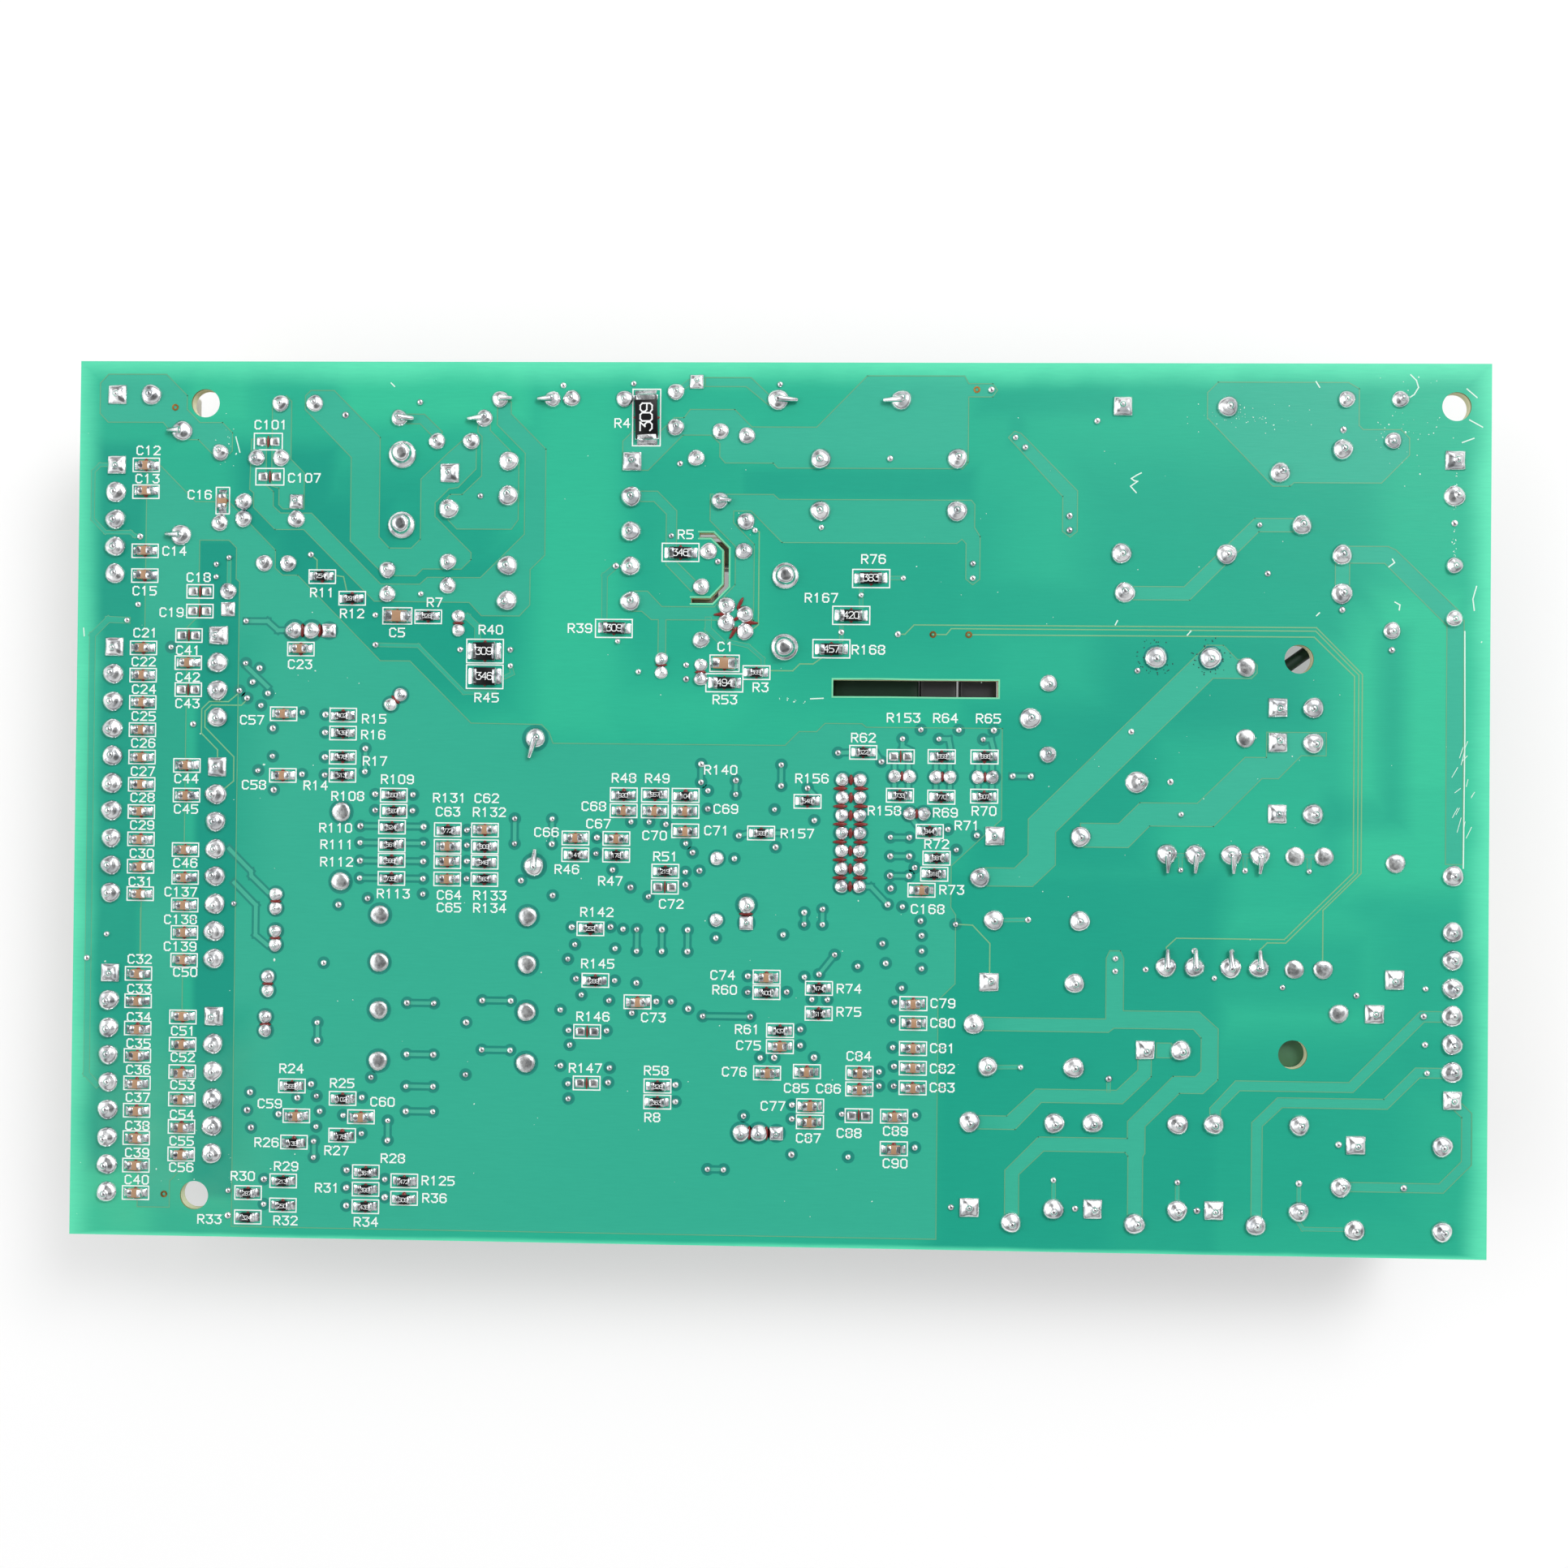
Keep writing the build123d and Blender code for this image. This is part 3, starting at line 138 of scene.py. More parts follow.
# the solder mask and the copper under it
maskLook = {  # colours; strengths from 0 to 1; the width of the paler rim and the depth of a mouth in mm
    # the deep colours are painted shade and the light ones painted light, from how much light comes through
    # the board; the rim colour is painted light at the edge
    "bare": tint(39, 172, 140), "deep": tint(14, 147, 126), "light": tint(56, 193, 151),
    "rim": tint(100, 230, 184), "copper": tint(49, 169, 141), "copperLight": tint(60, 176, 148),
    "copperShade": tint(30, 158, 132), "weave": tint(20, 120, 104), "bloom": tint(120, 190, 150),
    "speck": tint(226, 240, 232), "glass": (tint(206, 208, 164), tint(240, 238, 212)),
    "mouth": tint(128, 128, 78), "roughness": 0.36, "specular": 0.24, "rimWidth": 4.4,
    "lowerRimNarrower": 6.0, "rimOverCopper": 0.25, "rimOverBare": 0.85, "residue": 0.30, "specks": 0.65,
    "speckScale": 150.0, "speckRarity": 0.93, "speckReach": 0.0125, "mouthDepth": 0.35,
}
# soft boxes: left, top, right, bottom and softness in mm, strength; painted shade where copper on both sides
# keeps light from coming through the board
paintedShadeFields = [
    (17.6, 26, 24.6, 121, 1.6, 1), (2.5, 12, 10, 117, 3, 0.75), (23, 12, 38, 27, 5, 0.85),
    (27, 18, 48, 40, 10, 0.95), (38, 26, 64, 50, 10, 0.75), (36, 15, 62, 32, 8, 0.65),
    (96, 15, 130, 20, 3, 0.55), (100, 22, 132, 50, 14, 0.4), (80, 12, 98, 47, 6, 0.35),
    (147, 37, 178, 53, 8, 0.55), (128, 48, 156, 74, 8, 0.6), (124, 72, 166, 128, 6, 0.6),
    (158, 94, 203, 128, 8, 0.4), (150, 81, 186, 92, 6, 0.45), (128, 31, 182, 39, 5, 0.35),
    (144, 14, 186, 36, 12, 0.4), (184, 74, 200, 100, 6, 0.25), (130, 3.5, 150, 7.5, 3, 0.35),
    (187, 38, 191, 66, 4, 0.5), (180, 61.5, 190, 66.5, 4, 0.4), (134.5, 4, 137, 12, 2, 0.3),
]
# where nothing covers the back and light comes through
lightFields = [
    (66, 2, 79, 54, 7, 0.55), (60, 42, 128, 54, 8, 0.35), (183, 34, 201, 76, 6, 0.8),
    (138, 3, 164, 34, 9, 0.15), (164, 78, 188, 98, 9, 0.5), (187, 2, 203, 34, 6, 0.35),
    (152, 62, 178, 82, 9, 0.15), (2, 76, 9, 88, 3, 0.3), (0, 0, 203, 3, 4, 0.4), (84, 8, 98, 40, 5, 0.2),
    (192, 103, 210, 135, 9, 0.6), (150, 121, 210, 135, 5, 0.45), (-6, 116, 12, 135, 5, 0.9),
    (15, 2, 27, 12, 5, 0.4), (186, 32, 199, 62, 6, 1), (38, -6, 66, 9, 5, 1), (16, -6, 25, 9, 4, 0.8),
    (92, -4, 203, 3, 6, 0.5),
]
# over the copper: the part with a ground field behind, outside which light through the board is painted
# lighter; the darker parts, painted shade; residue in the lower left
groundBehind = (2, 14, 134, 126, 6, 0.75)
shadedCopperFields = [(2, 40, 26, 76, 10, 0.75), (14, 94, 26, 116, 6, 0.8)]
residue = (2, 100, 26, 126, 14, 1)


def softBox(x, y, box):
    # strength inside the box, falling to nothing across its softened edge
    left, top, right, bottom, soft, strength = box
    x0, x1 = boardLeft + left * mm, boardLeft + right * mm
    y0, y1 = boardTop - bottom * mm, boardTop - top * mm
    inside = (x - x0).least(x1 - x).least(y - y0).least(y1 - y)
    return inside.step(-soft * mm / 2, soft * mm / 2) * strength


def strongest(x, y, boxes):
    # the highest of several soft boxes at each place
    found = softBox(x, y, boxes[0])
    for box in boxes[1:]:
        found = found.most(softBox(x, y, box))
    return found


def solderMask(name, covered):
    # mask over bare laminate, or over copper when covered; painted light and painted shade from light coming
    # through the board, and paler where light comes in at the rim
    graph, look = Graph(name), maskLook
    place = graph.objectPlace()
    x, y, z = graph.axes(place)
    edge = (x - panelLow.x).least(panelHigh.x - x).least(panelHigh.y - y)
    edge = edge.least((y - panelLow.y) * look["lowerRimNarrower"])
    wander = graph.noise(70.0, 3.0, place) - 0.5
    rim = 1.0 - (edge + wander * 0.003).step(-0.0005, look["rimWidth"] * mm)
    cloud = graph.noise(38.0, 4.0, place)
    weave = graph.noise(420.0, 2.0, graph.stretched(place, (1.0, 9.0, 1.0)))
    if covered:
        # painted light where no ground field behind lets light through the board, then painted shade in the
        # darker parts
        litThroughBoard = 1.0 - softBox(x, y, groundBehind)
        colour = graph.mix(litThroughBoard * 0.75 + (cloud - 0.5) * 0.3, look["copper"], look["copperLight"])
        colour = graph.mix(strongest(x, y, shadedCopperFields), colour, look["copperShade"])
        colour = graph.mix(rim * look["rimOverCopper"], colour, look["rim"])
    else:
        # painted shade where copper behind blocks the light, painted light where light comes through the
        # board
        dark, light = strongest(x, y, paintedShadeFields), strongest(x, y, lightFields)
        colour = graph.mix(light * (0.6 + cloud * 0.5), look["bare"], look["light"])
        colour = graph.mix(dark + (cloud - 0.5) * 0.35, colour, look["deep"])
        colour = graph.mix(rim * look["rimOverBare"], colour, look["rim"])
    colour = graph.mix((weave - 0.5) * 0.16 + 0.08, colour, look["weave"])
    # bare glass and resin shows on cut edges and in holes, tan at the mouth of a hole
    up = graph.axes(graph.add("ShaderNodeNewGeometry")[1])[2]
    cut = 1.0 - up.abs().step(0.3, 0.6)
    strands = graph.noise(900.0, 3.0, graph.stretched(place, (0.3, 0.3, 3.0)))
    wall = graph.mix(strands, *look["glass"])
    mouth = (graph.axes(place)[2] - (solderSide - look["mouthDepth"] * mm)).step(0.0, 0.0001)
    wall = graph.mix(mouth * (edge > 0.0012), wall, look["mouth"])
    colour = graph.mix(cut, colour, wall)
    # a dull bloom of flux residue in the lower left, and small dust specks all over
    bloom = softBox(x, y, residue) * graph.noise(160.0, 4.0, place)
    colour = graph.mix(bloom * look["residue"], colour, look["bloom"])
    cell = graph.add("ShaderNodeTexVoronoi", inputs={"Vector": place, "Scale": look["speckScale"]})
    rare = graph.axes(cell[1])[0] > look["speckRarity"]
    speck = (cell[0] < look["speckReach"]) * rare
    colour = graph.mix(speck * look["specks"], colour, look["speck"])
    rough = look["roughness"] + (graph.noise(25.0, 3.0, place) - 0.5) * 0.16 + speck * 0.3 + cut * 0.4
    bump = graph.bump(graph.noise(260.0, 2.0, place) * 0.6 + weave * 0.4, 0.10, 0.0002)
    return graph.surface(colour, rough, 0.0, bump, {"Specular IOR Level": look["specular"]})


def metalFinish(name, bright, dull, roughness, patchScale, dents):
    # bright metal with dull patches and fine dents
    graph = Graph(name)
    patches = graph.noise(patchScale, 3.0)
    shade = graph.mix(patches.step(0.35, 0.75), tint(*bright), tint(*dull))
    rough = roughness + (graph.noise(patchScale * 2.7, 2.0) - 0.4).most(0.0) * 0.5
    bump = graph.bump(graph.noise(patchScale * 1.6, 3.0), dents, 0.0002)
    return graph.surface(shade, rough, 1.0, bump, {})


def mouldedFinish(name, colour, roughness, grain, strength, fade, fixed=None):
    # plastic, lacquer or ceramic: slight cloudiness, fine grain, uneven gloss
    graph = Graph(name)
    cloud = graph.noise(120.0, 3.0)
    darker = tuple(c * (1 - 2.2 * fade) for c in tint(*colour)[:3]) + (1.0,)
    paler = tuple(min(1.0, c * (1 + fade) + 0.004) for c in tint(*colour)[:3]) + (1.0,)
    shade = graph.mix(cloud, darker, paler)
    rough = roughness + (graph.noise(300.0, 2.0) - 0.5) * 0.18
    bump = graph.bump(graph.noise(grain, 2.0), strength, 0.0001)
    return graph.surface(shade, rough, 0.0, bump, fixed or {})


metalLooks = {  # bright and dull colour, roughness, patch scale, strength of the dents
    "solder": ((246, 247, 248), (184, 188, 193), 0.12, 420.0, 0.20),
    "chipSolder": ((236, 238, 240), (122, 126, 132), 0.16, 900.0, 0.35),
    "dullSolder": ((240, 242, 242), (182, 185, 188), 0.24, 700.0, 0.30),
    "bareVia": ((186, 140, 80), (120, 84, 44), 0.3, 900.0, 0.15),
    "canTop": ((214, 214, 216), (190, 190, 194), 0.30, 700.0, 0.08),
    "sheet": ((200, 202, 204), (176, 178, 182), 0.38, 260.0, 0.15),
    "tinned": ((186, 184, 178), (142, 140, 134), 0.32, 900.0, 0.1),
    "bandGold": ((190, 146, 62), (150, 112, 44), 0.4, 700.0, 0.1),
    "bandSilver": ((200, 202, 204), (176, 178, 180), 0.4, 700.0, 0.1),
}
mouldedLooks = {  # colour, roughness, grain scale and strength, unevenness of colour, other fixed values
    "clearance": ((6, 132, 116), 0.4, 500.0, 0.05, 0.04),
    "copperEdge": ((96, 168, 128), 0.4, 500.0, 0.05, 0.10),
    "track": ((58, 172, 144), 0.38, 500.0, 0.05, 0.06),
    "thinTrack": ((118, 178, 130), 0.4, 500.0, 0.05, 0.08),
    "legend": ((236, 244, 240), 0.55, 700.0, 0.1, 0.03),
    "glue": ((128, 32, 26), 0.34, 1400.0, 0.5, 0.25),
    "capacitorChip": ((176, 138, 106), 0.42, 1500.0, 0.2, 0.16),
    "resistorChip": ((10, 10, 13), 0.42, 1500.0, 0.1, 0.1, {"Specular IOR Level": 0.2}),
    "fluxDust": ((214, 238, 226), 0.6, 900.0, 0.3, 0.05),
    "burntFlux": ((16, 60, 62), 0.35, 900.0, 0.3, 0.15),
    "fluxStain": ((18, 128, 124), 0.2, 500.0, 0.3, 0.12),
    "milledEdge": ((120, 214, 168), 0.6, 1500.0, 0.6, 0.16),
    "chipCode": ((238, 240, 240), 0.5, 900.0, 0.1, 0.03),
    "relayCase": ((26, 26, 28), 0.34, 500.0, 0.06, 0.1),
    "nylon": ((228, 224, 208), 0.46, 300.0, 0.06, 0.04, {
        "Subsurface Weight": 0.15, "Subsurface Radius": (0.002, 0.002, 0.0015), "Subsurface Scale": 1.0}),
    "blackMoulding": ((30, 30, 33), 0.5, 900.0, 0.2, 0.12),
    "whiteMoulding": ((224, 224, 218), 0.45, 900.0, 0.1, 0.03),
    "sleeve": ((26, 34, 58), 0.28, 250.0, 0.10, 0.1),
    "sleeveMark": ((190, 196, 206), 0.35, 250.0, 0.1, 0.03),
    "ferrite": ((58, 58, 62), 0.6, 1400.0, 0.5, 0.2),
    "tape": ((222, 178, 40), 0.26, 160.0, 0.25, 0.12),
    "enamel": ((152, 74, 34), 0.24, 300.0, 0.05, 0.2, {"Coat Weight": 0.6}),
    "filmCase": ((206, 164, 62), 0.38, 500.0, 0.1, 0.08),
    "greyCase": ((112, 112, 98), 0.42, 500.0, 0.1, 0.1),
    "lacquer": ((196, 168, 122), 0.32, 700.0, 0.1, 0.08),
    "bandBrown": ((96, 48, 22), 0.35, 700.0, 0.1, 0.1),
    "bandDark": ((24, 22, 24), 0.35, 700.0, 0.1, 0.1),
    "bandRed": ((170, 36, 28), 0.35, 700.0, 0.1, 0.1),
    "blueCoat": ((34, 84, 150), 0.36, 420.0, 0.3, 0.12),
    "greenCoat": ((6, 40, 24), 0.45, 420.0, 0.2, 0.15, {"Specular IOR Level": 0.25}),
    "paleGreenCoat": ((70, 116, 84), 0.5, 420.0, 0.2, 0.1),
    "glass": ((236, 244, 240), 0.05, 300.0, 0.0, 0.01, {"Transmission Weight": 0.95, "IOR": 1.45}),
    "lens": ((150, 18, 14), 0.15, 300.0, 0.02, 0.1, {"Transmission Weight": 0.3}),
    "potting": ((34, 34, 36), 0.42, 700.0, 0.15, 0.1),
}
finishes = {"bareBoard": solderMask("bareBoard", False), "coveredCopper": solderMask("coveredCopper", True)}
finishes.update({name: metalFinish(name, *look) for name, look in metalLooks.items()})
finishes.update({name: mouldedFinish(name, *look) for name, look in mouldedLooks.items()})
print("finishes made")


# meshes: every shape is (points, [face arrays]) and is worked out as whole arrays
def stackRings(rings):
    # rings[level, corner] run anticlockwise and go up: side walls between levels, both ends closed
    levels, count = rings.shape[:2]
    index = np.arange(levels * count).reshape(levels, count)
    low, high = index[:-1], index[1:]
    walls = np.stack([low, np.roll(low, -1, 1), np.roll(high, -1, 1), high], -1).reshape(-1, 4)
    return rings.reshape(-1, 3), [walls, index[0][::-1][None], index[-1][None]]


def merge(shapes):
    # one shape from many, with their faces sorted by number of corners
    points, byCount, start = [], {}, 0
    for vertices, faces in shapes:
        points.append(vertices)
        for array in faces:
            byCount.setdefault(array.shape[1], []).append(array + start)
        start += len(vertices)
    return np.concatenate(points), [np.concatenate(group) for group in byCount.values()]


def repeatShape(shape, places, turns=0.0, sizes=1.0, leans=0.0):
    # copies of one shape: stretched by sizes, leaned by its height, turned about Z, then placed;
    # a size below zero mirrors it, and its faces are turned back to face outwards
    vertices, faces = shape
    places = np.asarray(places, float).reshape(-1, 3)
    count = len(places)
    turns = np.broadcast_to(np.asarray(turns, float), (count,))
    sizes = np.broadcast_to(np.asarray(sizes, float), (count, 3))
    leans = np.broadcast_to(np.asarray(leans, float), (count, 2))
    points = vertices[None] * sizes[:, None]
    points[..., :2] += points[..., 2:] * leans[:, None]
    cos, sin = np.cos(turns)[:, None], np.sin(turns)[:, None]
    x, y = points[..., 0], points[..., 1]
    turned = np.stack([x * cos - y * sin, x * sin + y * cos, points[..., 2]], -1) + places[:, None]
    offsets = (np.arange(count) * len(vertices))[:, None, None]
    order = -1 if np.prod(sizes[0]) < 0 else 1
    return turned.reshape(-1, 3), [(a[None] + offsets).reshape(-1, a.shape[1])[:, ::order] for a in faces]


def makePiece(name, shape, finish, replaced=(), smooth=True, sharpAngle=50):
    vertices, faceSets = shape
    corners = np.concatenate([a.ravel() for a in faceSets]).astype(np.int32)
    totals = np.concatenate([np.full(len(a), a.shape[1]) for a in faceSets])
    mesh = bpy.data.meshes.new(name)
    mesh.vertices.add(len(vertices))
    mesh.vertices.foreach_set("co", vertices.astype(np.float32).ravel())
    mesh.loops.add(len(corners))
    mesh.loops.foreach_set("vertex_index", corners)
    mesh.polygons.add(len(totals))
    mesh.polygons.foreach_set("loop_start", (np.cumsum(totals) - totals).astype(np.int32))
    mesh.update(calc_edges=True)
    mesh.validate()
    mesh.polygons.foreach_set("use_smooth", np.full(len(mesh.polygons), smooth))
    if smooth:
        mesh.set_sharp_from_angle(angle=math.radians(sharpAngle))
    mesh.materials.append(finishes[finish])
    piece = bpy.data.objects.new(name, mesh)
    bpy.context.scene.collection.objects.link(piece)
    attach(piece, "root")
    if replaced:
        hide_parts(*replaced)


def paintNode(node, finish):
    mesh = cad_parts[node].data
    mesh.materials.clear()
    mesh.materials.append(finishes[finish])


def toPlane(places):  # (across, down) in mm to x, y in metres
    places = np.asarray(places, float).reshape(-1, 2)
    return np.stack([boardLeft + places[:, 0] * mm, boardTop - places[:, 1] * mm], 1)


def onBoard(places, level=solderSide):
    plane = toPlane(places)
    return np.column_stack([plane, np.full(len(plane), level)])


def toPlaces(points):  # x, y in metres to (across, down) in mm
    return np.column_stack([(points[:, 0] - boardLeft) / mm, (boardTop - points[:, 1]) / mm])


def cornerPoints(node):
    # places of a node's triangle corners, three to a triangle
    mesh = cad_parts[node].data
    points = np.zeros(len(mesh.vertices) * 3, np.float32)
    mesh.vertices.foreach_get("co", points)
    corners = np.zeros(len(mesh.loops), np.int32)
    mesh.loops.foreach_get("vertex_index", corners)
    return points.reshape(-1, 3)[corners].astype(float)


trianglesEach = {  # triangles in each solid of a node, where they aren't the 12 of a box
    "solder_joints_square": 6, "solder_joints_medium": 10, "solder_joints_small_square": 6,
    "solder_joints_small": 10, "solder_joints_heat_sink": 14, "solder_joints_module": 14,
    "solder_joints_flat": 14, "relays": 28, "axial_resistors": 28, "axial_diodes": 28, "fuse_caps": 44,
    "fuse_tube": 44, "reservoir_capacitors": 68, "reservoir_capacitor_tops": 68, "small_capacitors": 28,
    "disc_capacitors": 52,
}


def solidBoxes(node):
    # low and high corners of each of a node's equal solids, whose triangles follow one another
    corners = cornerPoints(node).reshape(-1, 3 * trianglesEach.get(node, 12), 3)
    return corners.min(1), corners.max(1)


def boxOf(node):  # low and high corner of a whole node
    low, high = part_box(node)
    return np.array(low), np.array(high)


def copperBoundary():
    # outer edges of the copper fields: those that only one top triangle has
    triangles = cornerPoints("copper_fields").reshape(-1, 3, 3)
    top = triangles[(np.abs(triangles[..., 2] - solderSide) < 2e-6).all(1)][..., :2]
    edges = np.concatenate([top[:, [0, 1]], top[:, [1, 2]], top[:, [2, 0]]])
    keys = np.round(edges / 1e-6).astype(np.int64)
    (x0, y0), (x1, y1) = keys[:, 0].T, keys[:, 1].T
    swap = (x0 > x1) | ((x0 == x1) & (y0 > y1))
    keys[swap] = keys[swap][:, ::-1]
    first, counts = np.unique(keys.reshape(-1, 4), axis=0, return_index=True, return_counts=True)[1:]
    return edges[first[counts == 1]]


copperEdges = copperBoundary()


def inGround(places):
    # inside the big ground copper: an odd number of boundary crossings on a line to the right
    plane = toPlane(places)
    x, y = plane[:, :1], plane[:, 1:]
    (x0, y0), (x1, y1) = copperEdges[:, 0].T, copperEdges[:, 1].T
    spans = (y0 > y) != (y1 > y)
    with np.errstate(divide="ignore", invalid="ignore"):
        meet = x0 + (y - y0) * (x1 - x0) / (y1 - y0)
    u, v = np.asarray(places, float).reshape(-1, 2).T
    reach = ((v > 38) | ((u < 14) & (v > 14.6))) & (u < 134.2)
    return ((spans & (meet > x)).sum(1) % 2 == 1) & reach


# flat lines: thin closed bars between pairs of points
def bars(segments, width, top, overlap=None):
    # each bar runs along its segment, widened to both sides and lengthened by half its width
    segments = np.asarray(segments, float).reshape(-1, 2, 2)
    start, end = segments[:, 0], segments[:, 1]
    along = end - start
    length = np.linalg.norm(along, axis=1, keepdims=True)
    along = along / np.maximum(length, 1e-9)
    side = np.stack([-along[:, 1], along[:, 0]], 1) * width * mm / 2
    cap = along * (width * mm / 2 if overlap is None else overlap * mm)
    ring = np.stack([start - cap - side, end + cap - side, end + cap + side, start - cap + side], 1)
    count = len(ring)
    low = np.full((count, 4, 1), solderSide - 0.02 * mm)
    high = np.full((count, 4, 1), solderSide + top * mm)
    high += (np.arange(count) % 4 * 0.0012 * mm)[:, None, None]  # bars that cross never share a face
    points = np.concatenate([np.concatenate([ring, low], 2), np.concatenate([ring, high], 2)], 1)
    box = np.array([[0, 1, 5, 4], [1, 2, 6, 5], [2, 3, 7, 6], [3, 0, 4, 7], [4, 5, 6, 7], [3, 2, 1, 0]])
    faces = (box[None] + (np.arange(count) * 8)[:, None, None]).reshape(-1, 4)
    return points.reshape(-1, 3), [faces]


def chain(points):  # a segment from each point to the next
    return np.stack([points[:-1], points[1:]], 1)


def lineSegments(line):
    return chain(toPlane(line))


def allSegments(lines):
    return np.concatenate([lineSegments(line) for line in lines])


def rim(low, high):  # closed path round a rectangle
    (x0, y0), (x1, y1) = low, high
    return np.array([(x0, y0), (x1, y0), (x1, y1), (x0, y1), (x0, y0)])


def discs(places, radius, top, sides=20):
    angle = np.arange(sides) * 2 * np.pi / sides
    ring = np.stack([np.cos(angle), np.sin(angle)], 1) * radius * mm
    low = np.column_stack([ring, np.full(sides, -0.02 * mm)])
    high = np.column_stack([ring, np.full(sides, (top + 0.0005) * mm)])  # not level with any bar
    return repeatShape(stackRings(np.stack([low, high])), onBoard(places))


layers = {"clearance": 0.008, "track": 0.014, "edge": 0.018, "legend": 0.03}  # mm above the mask

# board and its copper; each line below is across, down, across, down and so on, in mm
copperLook = {  # widths in mm; a rim is what shows of a wide track's edge on both sides
    "outline": 0.13, "trackGap": 1.15, "linkGap": 1.2, "holeGap": 0.92, "track": 0.55, "link": 0.5,
    "wideRim": 0.16, "thin": 0.17,
}
paintNode("board_panel", "bareBoard")
paintNode("copper_fields", "coveredCopper")
makePiece("copper_field_edges", bars(copperEdges, copperLook["outline"], layers["edge"]), "copperEdge",
          smooth=False)

